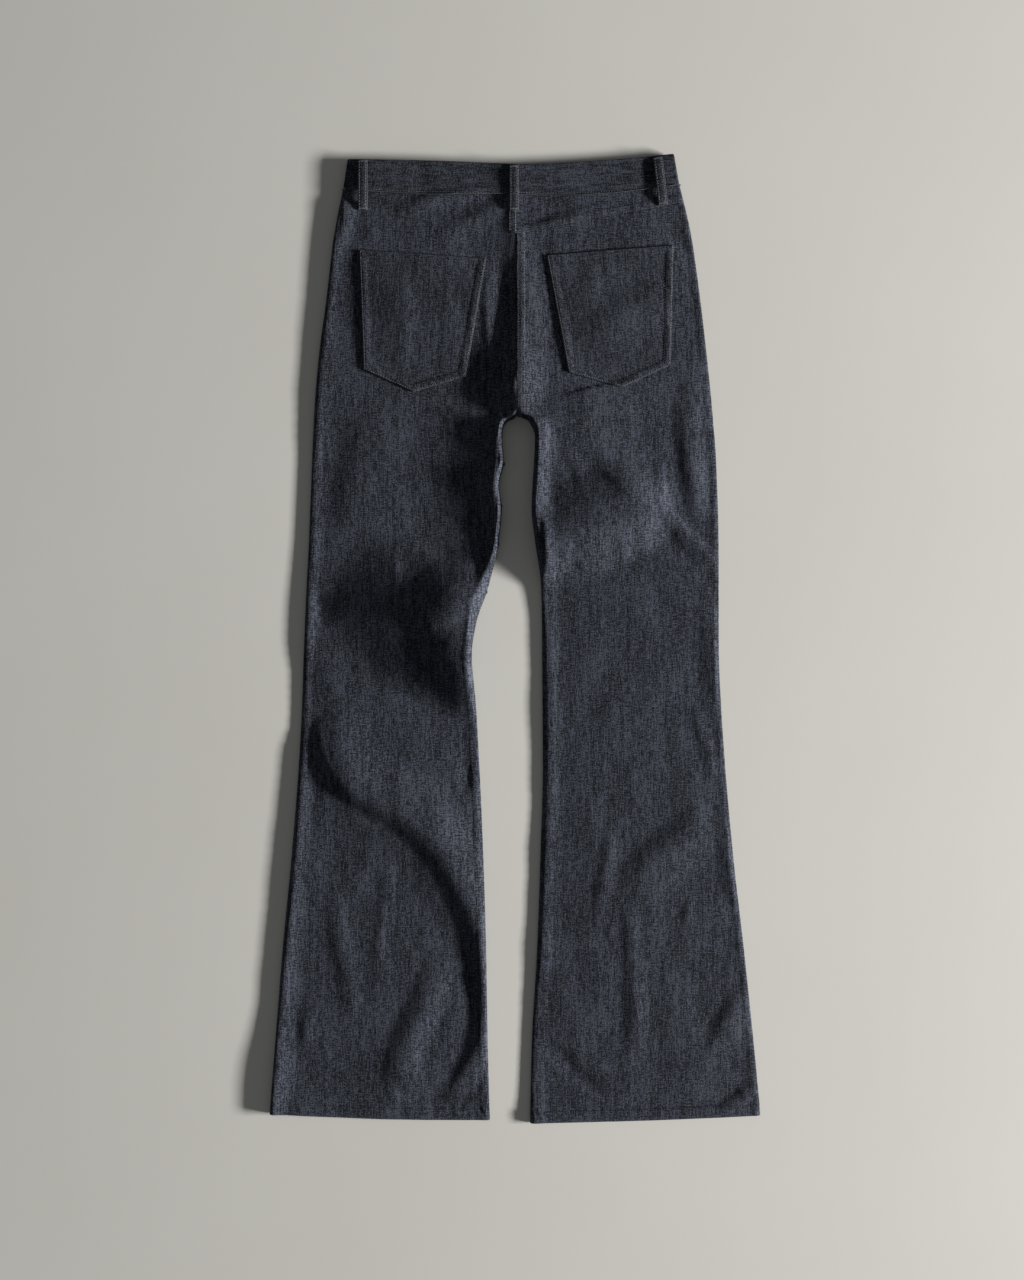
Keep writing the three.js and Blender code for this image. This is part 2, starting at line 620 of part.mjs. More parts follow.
function addBackLoop({ name, topX, topY, lowX, lowY }) {
  const steps = 16;
  const from = new THREE.Vector2(topX, topY);
  const run = new THREE.Vector2(lowX, lowY).sub(from);
  const length = run.length();
  const over = new THREE.Vector2(-run.y, run.x).normalize().multiplyScalar(LOOP_WIDTH / 2);
  const places = Array.from({ length: steps + 1 }, (_, i) => from.clone().addScaledVector(run, i / steps));
  const seat = piecesNamed(/^(waistband|yoke|back_leg)/);
  const ground = places.map((place) => Math.max(...[-1, 0, 1].map((side) => {
    return topOf(seat, place.x + side * over.x, place.y + side * over.y);
  })));
  const arch = Math.max(...ground) + LOOP_GAP;
  const grid = (by) => places.map((place, i) => {
    const fromEnd = length * Math.min(i, steps - i) / steps;
    const high = mix(ground[i] + SEAM_GAP, arch, soft(fromEnd / LOOP_FOOT)) + by;
    return [-1, 0, 1].map((side) => new THREE.Vector3(place.x + side * over.x, place.y + side * over.y, high));
  });
  addPiece(name, slab(grid(LOOP_CLOTH), grid(0)), loopCloth);
}
BACK_LOOPS.forEach(addBackLoop);

// Belt loops on the front: pressed flat between the waistband and the floor
for (const side of Object.values(SIDES)) {
  const across = 1 - FRONT_LOOP_OUT / Math.abs(side.rows[0].outerX - CENTRE_X);
  const top = frontPoint(side, 0, across, 0);
  const strap = new THREE.BoxGeometry(LOOP_WIDTH, FRONT_LOOP_LENGTH, LOOP_CLOTH, 1, 4, 1);
  strap.translate(top.x, top.y - 1 - FRONT_LOOP_LENGTH / 2, LOOP_CLOTH / 2);
  addPiece(`belt_loop_front_${side.name}`, strap, loopCloth);
}

// Waist button: a domed metal head under the waistband's buttoned end
function addButton() {
  const radius = BUTTON.diameter / 2;
  const bandTop = frontPoint(SIDES.left, 0, 1, 0).y;
  const bandLow = frontPoint(SIDES.left, WAIST_SEAM, 1, 0).y;
  const profile = [
    new THREE.Vector2(0, 0),
    new THREE.Vector2(radius - BUTTON.edge, 0),
    new THREE.Vector2(radius, BUTTON.edge),
    new THREE.Vector2(radius, BUTTON.high - 0.4),
    new THREE.Vector2(radius - 0.4, BUTTON.high),
    new THREE.Vector2(0, BUTTON.high),
  ];
  const head = new THREE.LatheGeometry(profile, 24);
  head.rotateX(Math.PI / 2);
  head.translate(CENTRE_X + BUTTON.ahead, (bandTop + bandLow) / 2, 0);
  addPiece('waist_button', head, buttonMetal);
}
addButton();

export default group;
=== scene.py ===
# Flared jeans laid flat on a floor, seat side up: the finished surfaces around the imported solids.
# Tables are in millimetres and meshes in metres. +Z is up, +Y runs from the hems to the waist and
# +X is the wearer's right. Each panel is a thin closed shell on the form of the solid it replaces.

import math

import bmesh
import bpy
import numpy as np
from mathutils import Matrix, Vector
from mathutils.bvhtree import BVHTree


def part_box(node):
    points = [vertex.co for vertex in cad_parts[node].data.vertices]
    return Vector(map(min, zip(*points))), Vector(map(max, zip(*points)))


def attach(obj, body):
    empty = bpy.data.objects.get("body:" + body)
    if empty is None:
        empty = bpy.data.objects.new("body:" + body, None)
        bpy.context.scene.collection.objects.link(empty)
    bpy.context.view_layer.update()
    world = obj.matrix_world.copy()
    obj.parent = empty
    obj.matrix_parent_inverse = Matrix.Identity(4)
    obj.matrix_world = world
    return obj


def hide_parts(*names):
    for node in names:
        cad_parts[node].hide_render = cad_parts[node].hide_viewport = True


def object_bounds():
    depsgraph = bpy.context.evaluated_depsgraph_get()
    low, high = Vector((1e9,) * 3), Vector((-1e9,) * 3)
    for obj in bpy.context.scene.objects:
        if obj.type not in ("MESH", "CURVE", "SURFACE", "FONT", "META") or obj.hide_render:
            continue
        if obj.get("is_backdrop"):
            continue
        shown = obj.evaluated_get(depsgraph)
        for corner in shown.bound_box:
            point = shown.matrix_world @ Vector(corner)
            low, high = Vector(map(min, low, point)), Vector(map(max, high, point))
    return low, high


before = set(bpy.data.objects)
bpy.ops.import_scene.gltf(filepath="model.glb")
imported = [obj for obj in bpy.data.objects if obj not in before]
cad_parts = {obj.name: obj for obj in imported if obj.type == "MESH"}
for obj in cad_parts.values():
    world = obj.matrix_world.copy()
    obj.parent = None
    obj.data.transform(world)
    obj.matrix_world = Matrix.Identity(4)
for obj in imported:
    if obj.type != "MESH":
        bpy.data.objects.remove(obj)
CAD_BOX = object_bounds()
MM = 0.001
BODY = "root"

# Camera: straight above, where the picture was taken from
PICTURE_CENTRE = (-3.4, -1.2)
PICTURE_WIDTH = 1203.2
CAMERA_HEIGHT = 1900

# Driving dimensions: cloth
CLOTH = 1.2
BAND_CLOTH = 2.4
HEM_CLOTH = 1.7
POCKET_CLOTH = 1.5
LOOP_CLOTH = 1.7
SEAM_GAP = 0.3
CENTRE_X = 2.5

# Driving dimensions: waist
FRONT_DIP = 35
FRONT_LIFT = 2.0
FRONT_LIFT_HELD = 25
FRONT_LIFT_GONE = 75
BAND_PROUD = 0.8
LAP_END = 9
UNDERLAP_END = -32
UNDERLAP_RISE_FROM = 57
UNDERLAP_RISE_TO = 30

# Driving dimensions: trim
LOOP_WIDTH = 11.2
LOOP_FOOT = 11
POCKET = {"top_half": 74.5, "low_half": 60, "side": 139, "point": 161.5}
PLACKET = {"reach": 34, "seam_side": 8, "length": 165, "straight": 0.6, "tip": 3}
BUTTON_DIAMETER = 17

# How the upper wall rounds down at an edge, as a share of its height and a least radius
ROUND_SHARE = 0.14
ROUND_LEAST = 2

# Columns across a panel, as distances in from its outer and inner ends
OUTER_COLUMNS = [0, 0.2, 0.6, 1.2, 2.0, 3.0, 4.4, 6.2, 8.4]
INNER_COLUMNS = [23, 20, 17, 14.4, 12.2, 10.4, 9.2, 8.2, 7.2, 6, 4.6, 3.4, 2.4, 1.6, 1, 0.5, 0.2, 0]
BACK_MIDDLE = 66
FRONT_OUTER_COLUMNS = [0, 0.3, 0.9, 2.0, 4.5]
FRONT_INNER_COLUMNS = [4.5, 2.0, 0.9, 0.3, 0]
FRONT_MIDDLE = 34
BACK_PITCH = 2.8
FRONT_PITCH = 6.0
END_ROWS = [0.25, 0.7, 1.4, 2.4]

# Outline of each side from the waistband's top edge to the hem
OUTLINE = ("outer_x", "outer_y", "inner_x", "inner_y", "bow")
WAIST_SEAM = 1
YOKE_SEAM = 2
CROTCH = 8
HEM_FOLD = 25
LEFT_OUTLINE = [
    (-196.1, 561.5, CENTRE_X, 555.3, 1.0),
    (-201.5, 526.4, CENTRE_X, 520.0, -2.4),
    (-206.0, 505.2, CENTRE_X, 473.5, 0),
    (-212.5, 470, CENTRE_X, 441, 0),
    (-221.5, 396, CENTRE_X, 378, 0),
    (-229.5, 336, CENTRE_X, 326, 0),
    (-234.0, 288, CENTRE_X, 286, 0),
    (-235.2, 270, CENTRE_X, 269, 0),
    (-235.8, 261, CENTRE_X, 262, 0),
    (-236.1, 254, -3.5, 257.2, 0),
    (-236.5, 245, -9.5, 254.2, 0),
    (-237.0, 235, -13.8, 247, 0),
    (-237.6, 220, -14.8, 232, 0),
    (-238.4, 200, -12.6, 208, 0),
    (-239.2, 176, -18.6, 180, 0),
    (-240.3, 150, -15.4, 152, 0),
    (-241.6, 116, -18.7, 116, 0),
    (-244.3, 64, -31.5, 60, 0),
    (-246.3, 20, -45.5, 18, 0),
    (-247.8, -18, -50.6, -20, 0),
    (-249.8, -80, -45.4, -82, 0),
    (-254.0, -155, -41.4, -155, 0),
    (-262.0, -255, -37.0, -256, 0),
    (-272.3, -362, -33.8, -363, 0),
    (-280.4, -463, -32.0, -468, 0),
    (-286.8, -544, -29.8, -550.5, -1.5),
    (-287.2, -549.5, -29.6, -556.0, -1.7),
    (-287.8, -557, -29.2, -564.0, -2.0),
]
RIGHT_OUTLINE = [
    (186.4, 568.0, CENTRE_X, 555.3, -2.2),
    (192.9, 532.0, CENTRE_X, 520.0, -5.5),
    (198.0, 511.7, CENTRE_X, 473.5, 0),
    (207.0, 471, CENTRE_X, 441, 0),
    (217.6, 397, CENTRE_X, 378, 0),
    (224.6, 337, CENTRE_X, 326, 0),
    (229.8, 288, CENTRE_X, 286, 0),
    (231.4, 270, CENTRE_X, 269, 0),
    (232.2, 261, CENTRE_X, 262, 0),
    (232.7, 254, 9.0, 259.4, 0),
    (233.4, 246, 15.0, 256.4, 0),
    (234.4, 236, 19.4, 250.0, 0),
    (235.3, 223, 23.6, 237, 0),
    (236.3, 204, 22.4, 208, 0),
    (237.2, 182, 20.8, 184, 0),
    (238.3, 152, 19.6, 152, 0),
    (239.0, 116, 23.4, 116, 0),
    (239.2, 64, 30.6, 64, 0),
    (239.2, 20, 31.8, 20, 0),
    (239.4, -20, 32.0, -20, 0),
    (242.2, -82, 32.5, -82, 0),
    (247.2, -155, 32.8, -155, 0),
    (256.3, -256, 30.0, -256, 0),
    (268.5, -362, 26.2, -363, 0),
    (279.2, -464, 20.2, -468, 0),
    (287.0, -545.5, 18.0, -554.6, -1.2),
    (287.3, -550.5, 18.0, -559.6, -1.2),
    (287.8, -558.5, 18.0, -568.0, -1.2),
]

# Heights of the seat side by distance up the jeans: edge is the top of the outer edge, low the
# panel beside the inner end, the ridges the inner end of each side and the reaches how far they
# fall away, crown the rise between the ends and seam the height where the upper wall meets the lower
HEIGHTS = ("y", "edge", "low", "left_ridge", "right_ridge", "left_reach", "right_reach", "crown", "seam")
HEIGHT_ROWS = [
    (-568, 5.0, 4.8, 4.8, 4.8, 20, 20, 0.6, 2.7),
    (-540, 4.4, 4.2, 4.2, 4.2, 20, 20, 1.0, 2.5),
    (-440, 3.9, 3.8, 3.8, 3.8, 20, 20, 1.4, 2.4),
    (-200, 3.8, 3.7, 3.7, 3.7, 20, 20, 1.6, 2.4),
    (-90, 3.8, 3.7, 3.7, 3.7, 20, 20, 1.6, 2.4),
    (20, 3.8, 3.7, 5.0, 3.9, 20, 22, 1.6, 2.4),
    (58, 3.8, 3.8, 8.0, 6.4, 20, 24, 1.6, 2.4),
    (85, 3.7, 4.0, 11.0, 10.4, 20, 26, 1.6, 2.4),
    (116, 3.7, 4.0, 14.5, 12.0, 22, 26, 1.6, 2.4),
    (150, 3.7, 4.2, 16.0, 12.6, 24, 26, 1.6, 2.4),
    (245, 3.8, 4.6, 16.5, 12.8, 26, 26, 1.6, 2.4),
    (265, 4.0, 4.8, 18.0, 14.4, 28, 32, 1.6, 2.4),
    (309, 4.4, 5.4, 16.0, 16.0, 30, 40, 1.6, 2.6),
    (350, 4.8, 6.0, 12.4, 13.0, 28, 44, 1.6, 2.8),
    (400, 5.4, 6.8, 10.8, 11.6, 24, 44, 1.6, 3.0),
    (474, 6.6, 8.0, 9.8, 10.0, 20, 36, 1.4, 4.3),
    (524, 7.6, 8.6, 9.6, 9.6, 18, 30, 0.8, 5.1),
    (568, 7.8, 8.6, 9.6, 9.6, 16, 26, 0.6, 5.3),
]

# Folds: a crest's points, with its height there and how far it falls away on the left and right
# hand of somebody who walks along it. A negative height is a trough.
FOLDS = {
    "seat valley": [(-10, 451, 0, 12, 14), (-10, 421, -1.7, 12, 14), (-11, 330, -1.7, 12, 14)],
    "crotch fold": [(1, 317, 0, 11, 10), (-8, 291, 2.6, 11, 10), (-20, 266, 1.3, 11, 10)],
    "left hip side": [
        (-209, 498, 1, 26, 9), (-221, 443, 1.5, 28, 9), (-229, 363, 1.3, 30, 8), (-234, 281, 1.3, 30, 8),
        (-237, 199, 1.1, 22, 7), (-241, 116, 1.3, 20, 7), (-243, 58, 1.7, 16, 7), (-245, -1, 1.5, 15, 7),
        (-248, -42, 0, 15, 7),
    ],
    "left thigh skirt": [
        (-18, 286, 0, 8, 60), (-18, 251, 3, 8, 92), (-18, 175, 3.2, 8, 90), (-25, 110, 3, 8, 70),
        (-39, 58, 0, 8, 50),
    ],
    "left thigh crease": [
        (-161, 281, 0, 50, 26), (-180, 216, 2.4, 60, 30), (-194, 157, 2.4, 60, 30), (-208, 102, 0, 40, 20),
    ],
    "left knee upper": [
        (-18, 110, 0, 8, 60), (-32, 79, 8, 8, 110), (-45, 53, 16, 8, 172), (-53, 29, 18, 8, 180),
        (-55, -7, 17, 8, 150), (-54, -39, 14, 8, 110), (-50, -72, 8, 8, 60), (-49, -98, 0, 8, 30),
    ],
    "left knee edge": [
        (-34, 90, 0, 8, 70), (-43, 63, 5, 8, 92), (-53, 36, 5, 8, 88), (-54, 11, 2, 8, 60),
        (-54, -13, 0, 8, 40),
    ],
    "left knee lower": [
        (-133, 39, 0, 30, 14), (-119, 34, 4, 50, 30), (-90, 27, 6.4, 60, 56), (-60, 13, 8.5, 50, 72),
        (-46, -19, 9, 10, 76), (-46, -60, 7, 10, 56), (-49, -93, 0, 10, 30),
    ],
    "left calf sweep": [
        (-228, -86, 0, 60, 18), (-220, -133, 5, 60, 20), (-200, -167, 7, 60, 22),
        (-168, -187, 6.6, 60, 23), (-129, -208, 6.8, 60, 26), (-90, -239, 7.4, 48, 30),
        (-65, -277, 7.4, 36, 30), (-45, -324, 6.8, 26, 28), (-36, -377, 5.6, 20, 22),
        (-35, -436, 4.6, 20, 17), (-42, -477, 4, 20, 16), (-63, -516, 3.2, 22, 14), (-88, -539, 0, 22, 12),
    ],
    "left calf side": [
        (-249, -107, 0, 18, 7), (-250, -148, 2, 17, 7), (-256, -236, 2.1, 18, 7), (-265, -336, 2.6, 18, 7),
        (-275, -424, 2.6, 20, 7), (-282, -495, 5, 26, 7), (-285, -536, 5, 26, 7), (-287, -556, 3, 20, 7),
    ],
    "left hem fold": [
        (-77, -363, 0, 26, 26), (-94, -403, 3.2, 26, 28), (-113, -448, 4.9, 27, 29),
        (-131, -489, 4.5, 28, 28), (-139, -532, 1.5, 26, 22),
    ],
    "right thigh fold": [
        (33, 86, 5, 30, 26), (53, 115, 9, 60, 46), (100, 132, 12, 76, 56), (138, 145, 12.4, 76, 56),
        (161, 155, 8, 70, 44), (180, 166, 0, 60, 30),
    ],
    "right thigh rise": [
        (4, 398, 0, 140, 26), (5, 316, 5, 180, 26), (7, 275, 8, 190, 20), (21, 234, 12, 190, 8),
        (24, 163, 11, 190, 8), (26, 110, 6, 170, 8), (35, 58, 0, 120, 8),
    ],
    "right thigh branch": [
        (168, 199, 0, 10, 11), (172, 175, 2.4, 10, 12), (179, 150, 3, 11, 15), (199, 125, 3.8, 12, 22),
        (226, 98, 2.8, 12, 20),
    ],
    "right thigh crease": [
        (96, 224, 0, 40, 9), (109, 199, 1.8, 50, 13), (131, 177, 1.6, 50, 14), (159, 161, 0, 40, 14),
    ],
    "right hip fold": [
        (196, 298, 0, 16, 16), (200, 257, 2.4, 20, 18), (206, 204, 4, 20, 19), (212, 166, 2.9, 18, 18),
        (213, 130, 0, 14, 14),
    ],
    "right pocket fold": [
        (86, 333, 0, 26, 24), (104, 363, 2.6, 30, 42), (156, 395, 2.7, 32, 48), (185, 408, 0.9, 24, 30),
    ],
    "right calf fold": [
        (225, -193, 0, 30, 22), (206, -220, 3.8, 42, 26), (175, -249, 4.2, 48, 28), (149, -274, 2.6, 44, 26),
        (131, -295, 0, 34, 18),
    ],
    "right calf seam": [
        (33, 46, 0, 16, 6), (38, -1, 1.1, 17, 6), (40, -119, 1.3, 18, 6), (38, -236, 1.1, 18, 6),
        (33, -354, 0.8, 18, 6), (28, -430, 0.3, 16, 6),
    ],
    "right hem fold": [
        (274, -401, 0, 24, 14), (257, -432, 2.9, 28, 17), (237, -469, 2.5, 26, 16), (221, -499, 0, 20, 12),
    ],
    "right hem sag": [
        (24, -469, 0, 14, 14), (53, -490, -1.9, 14, 13), (76, -516, -1.9, 14, 12), (118, -536, -1.5, 14, 12),
        (194, -542, -1.4, 14, 12), (259, -535, -1.4, 12, 12),
    ],
}

# Finer creases in the same form, which the thin cloth shows on top of the folds
CREASES = {
    "seat crease": [
        (-34, 448, 0, 10, 9), (-33, 398, 2, 12, 9), (-30, 345, 2, 12, 9), (-26, 311, 0, 12, 9),
    ],
    "yoke bulge": [
        (-149, 499, 0, 10, 16), (-109, 511, 2.4, 11, 17), (-74, 519, 2.4, 11, 18), (-25, 529, 0.9, 10, 16),
    ],
    "yoke second": [(-95, 471, 0, 13, 18), (-65, 482, 1.8, 15, 20), (-28, 503, 1.3, 13, 18)],
    "yoke right": [
        (19, 474, 0, 9, 14), (48, 490, 1.6, 10, 15), (100, 504, 1.1, 10, 14), (153, 510, 0, 9, 12),
    ],
    "band ridge": [
        (-6, 566, 0.9, 13, 30), (-5, 524, 1.1, 13, 30), (-2, 481, 1.5, 13, 30), (1, 430, 0, 13, 30),
    ],
    "band corner": [(-208, 569, -2.2, 12, 16), (-200, 530, -1.7, 10, 14), (-204, 513, 0, 8, 10)],
    "yoke corner": [(-201, 518, 0, 12, 6), (-198, 491, 1.7, 15, 6), (-206, 457, 0, 12, 6)],
    "left pocket dip": [
        (-128, 443, 0, 14, 32), (-129, 398, 1.5, 15, 34), (-133, 345, 1.5, 15, 32), (-135, 304, 0, 12, 28),
    ],
    "left pocket line": [
        (-83, 441, 0, 12, 14), (-82, 408, 0.7, 13, 15), (-67, 356, 0.8, 12, 16), (-62, 322, 0, 10, 12),
    ],
    "right pocket line": [(84, 448, 0, 12, 18), (91, 422, 1, 14, 20), (88, 392, 0, 12, 16)],
    "right hip dip": [(175, 490, 0, 14, 14), (196, 459, -1.1, 14, 12), (210, 428, 0, 12, 10)],
    "thigh streak": [(57, 241, 0, 12, 9), (67, 208, 1.1, 12, 9), (85, 161, 0, 12, 9)],
    "fold streak one": [(60, 119, 0, 9, 7), (60, 98, 0.9, 10, 7), (61, 74, 0, 9, 7)],
    "fold streak two": [(78, 126, 0, 8, 6), (79, 99, 0.8, 9, 6), (80, 76, 0, 8, 6)],
    "fold streak three": [(128, 128, 0, 12, 10), (126, 107, 1.2, 13, 10), (129, 86, 0, 10, 9)],
    "fold streak four": [(148, 149, 0, 9, 7), (148, 123, 0.9, 10, 7), (148, 98, 0, 9, 7)],
    "inseam notch": [(27, 60, -1.1, 10, 10), (40, 45, 0, 8, 8)],
    "right dent upper": [
        (210, -81, 0, 11, 9), (221, -114, 1.4, 13, 12), (230, -147, 1.1, 12, 11), (235, -173, 0, 10, 8),
    ],
    "right side upper": [(230, 48, 1.2, 7, 22), (233, -13, 2, 7, 22), (234, -72, 1.4, 7, 18)],
    "right side lower": [
        (241, -168, 0, 7, 14), (247, -224, 1.9, 7, 17), (255, -283, 1.9, 7, 16), (263, -324, 0, 7, 14),
    ],
    "right calf line": [
        (128, -298, 0, 14, 9), (134, -336, 1.6, 15, 11), (139, -401, 2.1, 18, 15), (139, -465, 2.1, 18, 15),
        (133, -502, 0, 12, 10),
    ],
    "right calf streak": [
        (107, -215, 0, 12, 10), (111, -246, 1.2, 13, 11), (100, -307, 1.2, 14, 12), (102, -354, 0, 12, 10),
    ],
    "right low spot": [(206, -301, 0, 10, 9), (202, -321, 1.4, 11, 9), (203, -342, 0, 10, 8)],
    "right corner": [(293, -515, 0, 14, 11), (270, -532, 2.2, 15, 12), (246, -549, 1.2, 12, 10)],
    "left knee tip": [(-223, 62, 0, 22, 9), (-228, 36, -2.4, 24, 9), (-220, 15, 0, 22, 9)],
    "left knee step": [
        (-137, 86, 0, 110, 50), (-144, 58, 2.4, 110, 76), (-147, 28, 3, 110, 80), (-144, -1, 2, 90, 66),
        (-133, -29, 0, 50, 50),
    ],
    "left knee line": [
        (-136, 116, 0, 7, 7), (-139, 98, 0.5, 7, 7), (-137, 46, 0.3, 7, 7), (-135, 16, 0, 7, 7),
    ],
    "left calf rise": [
        (-213, -53, 0, 36, 14), (-209, -105, 1.2, 44, 16), (-198, -152, 1.2, 46, 16), (-182, -189, 0, 40, 16),
    ],
    "left calf line": [
        (-217, -276, 0, 18, 16), (-206, -342, 1.7, 18, 17), (-196, -407, 1.7, 18, 16),
        (-194, -454, 0, 16, 14),
    ],
    "left low spot": [(-244, -430, 0, 13, 10), (-245, -459, 1.9, 14, 10), (-243, -489, 0, 13, 10)],
    "left calf streak": [
        (-155, -248, 0, 14, 12), (-151, -295, 1.2, 15, 12), (-159, -365, 1.2, 15, 12),
        (-161, -424, 0, 14, 12),
    ],
    "left hem hook": [
        (-67, -518, 0, 8, 8), (-97, -537, -1.6, 8, 8), (-130, -533, -1.6, 8, 8), (-143, -513, 0, 8, 8),
    ],
    "left inner dent": [(-62, -133, 0, 9, 12), (-57, -163, -1.8, 9, 13), (-60, -189, 0, 9, 12)],
    "left thigh swell": [
        (-18, 304, 0, 8, 80), (-18, 251, 2.4, 8, 112), (-18, 175, 2.6, 8, 112), (-25, 110, 1.8, 8, 84),
        (-36, 58, 0, 8, 50),
    ],
    "left knee swell": [
        (-27, 107, 0, 8, 50), (-34, 79, 3.6, 8, 74), (-43, 51, 3.6, 8, 74), (-50, 20, 0, 8, 46),
    ],
    "left knee shade": [
        (-116, 48, 0, 60, 10), (-100, 25, 3.6, 84, 22), (-81, -6, 4.6, 90, 30), (-63, -41, 4.6, 60, 32),
        (-52, -79, 0, 30, 24),
    ],
    "left calf shade": [
        (-228, -86, 0, 70, 30), (-215, -140, 2.4, 100, 40), (-191, -177, 2.8, 110, 44),
        (-153, -203, 2.8, 110, 46), (-112, -234, 3.2, 110, 50), (-79, -274, 3.4, 70, 50),
        (-55, -318, 3, 40, 44), (-41, -371, 1.8, 26, 36), (-36, -424, 0, 20, 30),
    ],
    "left thigh shade": [
        (-21, 251, 0, 8, 40), (-26, 216, 3, 8, 54), (-28, 163, 3, 8, 54), (-32, 116, 0, 8, 40),
    ],
    "right thigh shade": [
        (161, 206, 0, 22, 60), (161, 184, 4, 24, 92), (159, 166, 4, 24, 92), (156, 147, 0, 22, 60),
    ],
    "right thigh glow": [
        (37, 149, 0, 80, 8), (37, 128, 3.6, 110, 8), (38, 98, 3.6, 110, 8), (39, 69, 0, 80, 8),
    ],
    "right seat swell": [
        (206, 363, 0, 26, 90), (208, 298, 2.2, 26, 100), (210, 234, 2.2, 24, 100), (213, 163, 0, 20, 90),
    ],
}

SIDES = {
    "left": {"rows": LEFT_OUTLINE, "towards": -1},
    "right": {"rows": RIGHT_OUTLINE, "towards": 1},
}
for side_name, side in SIDES.items():
    side["name"] = side_name
    side["columns"] = dict(zip(OUTLINE, np.array(side["rows"], float).T))
    side["last"] = len(side["rows"]) - 1
HEIGHT_COLUMNS = dict(zip(HEIGHTS, np.array(HEIGHT_ROWS, float).T))


# Curves and profiles
def mix(low, high, share):
    return low + (high - low) * share


def soft(value):
    value = np.clip(value, 0, 1)
    return value * value * (3 - 2 * value)


def quarter(value):
    return np.sqrt(1 - (1 - np.clip(value, 0, 1)) ** 2)


def dent(distance, width):
    """1 on a line, falling smoothly to 0 at the given distance."""
    return np.clip(1 - (distance / width) ** 2, 0, 1) ** 2


def along(values, at):
    """Values at fractional rows, on a curve that never overshoots the rows beside it."""
    step = np.diff(values)
    slope = np.empty_like(values)
    slope[0], slope[-1] = step[0], step[-1]
    rising = step[:-1] * step[1:] > 0
    total = np.where(rising, step[:-1] + step[1:], 1)
    slope[1:-1] = np.where(rising, 2 * step[:-1] * step[1:] / total, 0)
    at = np.asarray(at, float)
    row = np.clip(np.floor(at).astype(int), 0, len(values) - 2)
    part = at - row
    rise, lead, trail = step[row], slope[row], slope[row + 1]
    bend = 3 * rise - 2 * lead - trail + part * (lead + trail - 2 * rise)
    return values[row] + part * (lead + part * bend)


def height_at(column, y):
    levels = HEIGHT_COLUMNS["y"]
    at = np.interp(y, levels, np.arange(len(levels)))
    return along(HEIGHT_COLUMNS[column], at)


def smooth_chain(points, per=6):
    """A finer chain through the given points, rounded at its corners."""
    points = np.asarray(points, float)
    padded = np.vstack([2 * points[0] - points[1], points, 2 * points[-1] - points[-2]])
    share = (np.arange(per) / per)[:, None]
    finer = []
    for a, b, c, d in zip(padded, padded[1:], padded[2:], padded[3:]):
        bend = 2 * a - 5 * b + 4 * c - d
        turn = 3 * b - a - 3 * c + d
        finer.append(b + 0.5 * share * (c - a + share * (bend + share * turn)))
    return np.vstack([*finer, points[-1:]])


def nearest_on(chain, x, y):
    """Distance to a chain, its further values there, and whether a place is on its left."""
    away = np.full(x.shape, np.inf)
    values = np.zeros((chain.shape[1] - 2, *x.shape))
    is_left = np.zeros(x.shape, bool)
    for a, b in zip(chain, chain[1:]):
        dx, dy = b[0] - a[0], b[1] - a[1]
        length = max(dx * dx + dy * dy, 1e-9)
        share = np.clip(((x - a[0]) * dx + (y - a[1]) * dy) / length, 0, 1)
        off_x, off_y = x - a[0] - dx * share, y - a[1] - dy * share
        distance = np.hypot(off_x, off_y)
        closer = distance < away
        away = np.where(closer, distance, away)
        for number, (start, end) in enumerate(zip(a[2:], b[2:])):
            values[number] = np.where(closer, start + (end - start) * share, values[number])
        is_left = np.where(closer, dx * off_y - dy * off_x > 0, is_left)
    return away, values, is_left


def fold_height(x, y, folds):
    total = np.zeros(x.shape)
    for crest in folds.values():
        chain = smooth_chain(crest)
        reach = chain[:, 3:].max()
        low, high = chain[:, :2].min(0) - reach, chain[:, :2].max(0) + reach
        near = (x > low[0]) & (x < high[0]) & (y > low[1]) & (y < high[1])
        if near.any():
            away, (top, left, right), is_left = nearest_on(chain, x[near], y[near])
            total[near] += top * dent(away, np.where(is_left, left, right))
    return total


def value_noise(x, y, size_x, size_y, seed):
    """Smooth noise from -1 to 1 with spots of the given size."""
    cells = 64
    lattice = np.random.default_rng(seed).uniform(-1, 1, (cells, cells))
    u, v = x / size_x + 1000, y / size_y + 1000
    i, j = np.floor(u).astype(int), np.floor(v).astype(int)
    s, t = soft(u - i), soft(v - j)
    corner = lambda di, dj: lattice[(i + di) % cells, (j + dj) % cells]
    return mix(mix(corner(0, 0), corner(1, 0), s), mix(corner(0, 1), corner(1, 1), s), t)


# The garment's surfaces
def row_ends(side, at):
    column = side["columns"]
    value = {name: along(column[name], at) for name in OUTLINE}
    gap = side["towards"] * SEAM_GAP / 2
    value["inner_x"] = value["inner_x"] + np.where(np.asarray(at) > CROTCH, 0, gap)
    return value


def row_width(ends):
    return np.hypot(ends["inner_x"] - ends["outer_x"], ends["inner_y"] - ends["outer_y"])


def place_on(ends, across):
    x = mix(ends["outer_x"], ends["inner_x"], across)
    y = mix(ends["outer_y"], ends["inner_y"], across) + ends["bow"] * 4 * across * (1 - across)
    return x, y


def edge_chains(side):
    at = np.arange(0, side["last"] + 0.001, 0.25)
    ends = row_ends(side, at)
    below = at >= CROTCH
    outer = np.column_stack([ends["outer_x"], ends["outer_y"], at])
    inner = np.column_stack([ends["inner_x"], ends["inner_y"], at])[below]
    return outer, inner


for side in SIDES.values():
    side["outer_edge"], side["inseam"] = edge_chains(side)


def edge_distances(side, x, y):
    outer = nearest_on(side["outer_edge"], x, y)[0]
    inner = nearest_on(side["inseam"], x, y)[0]
    return outer, inner


def seam_height(ends, across):
    return mix(height_at("seam", ends["outer_y"]), height_at("seam", ends["inner_y"]), across)


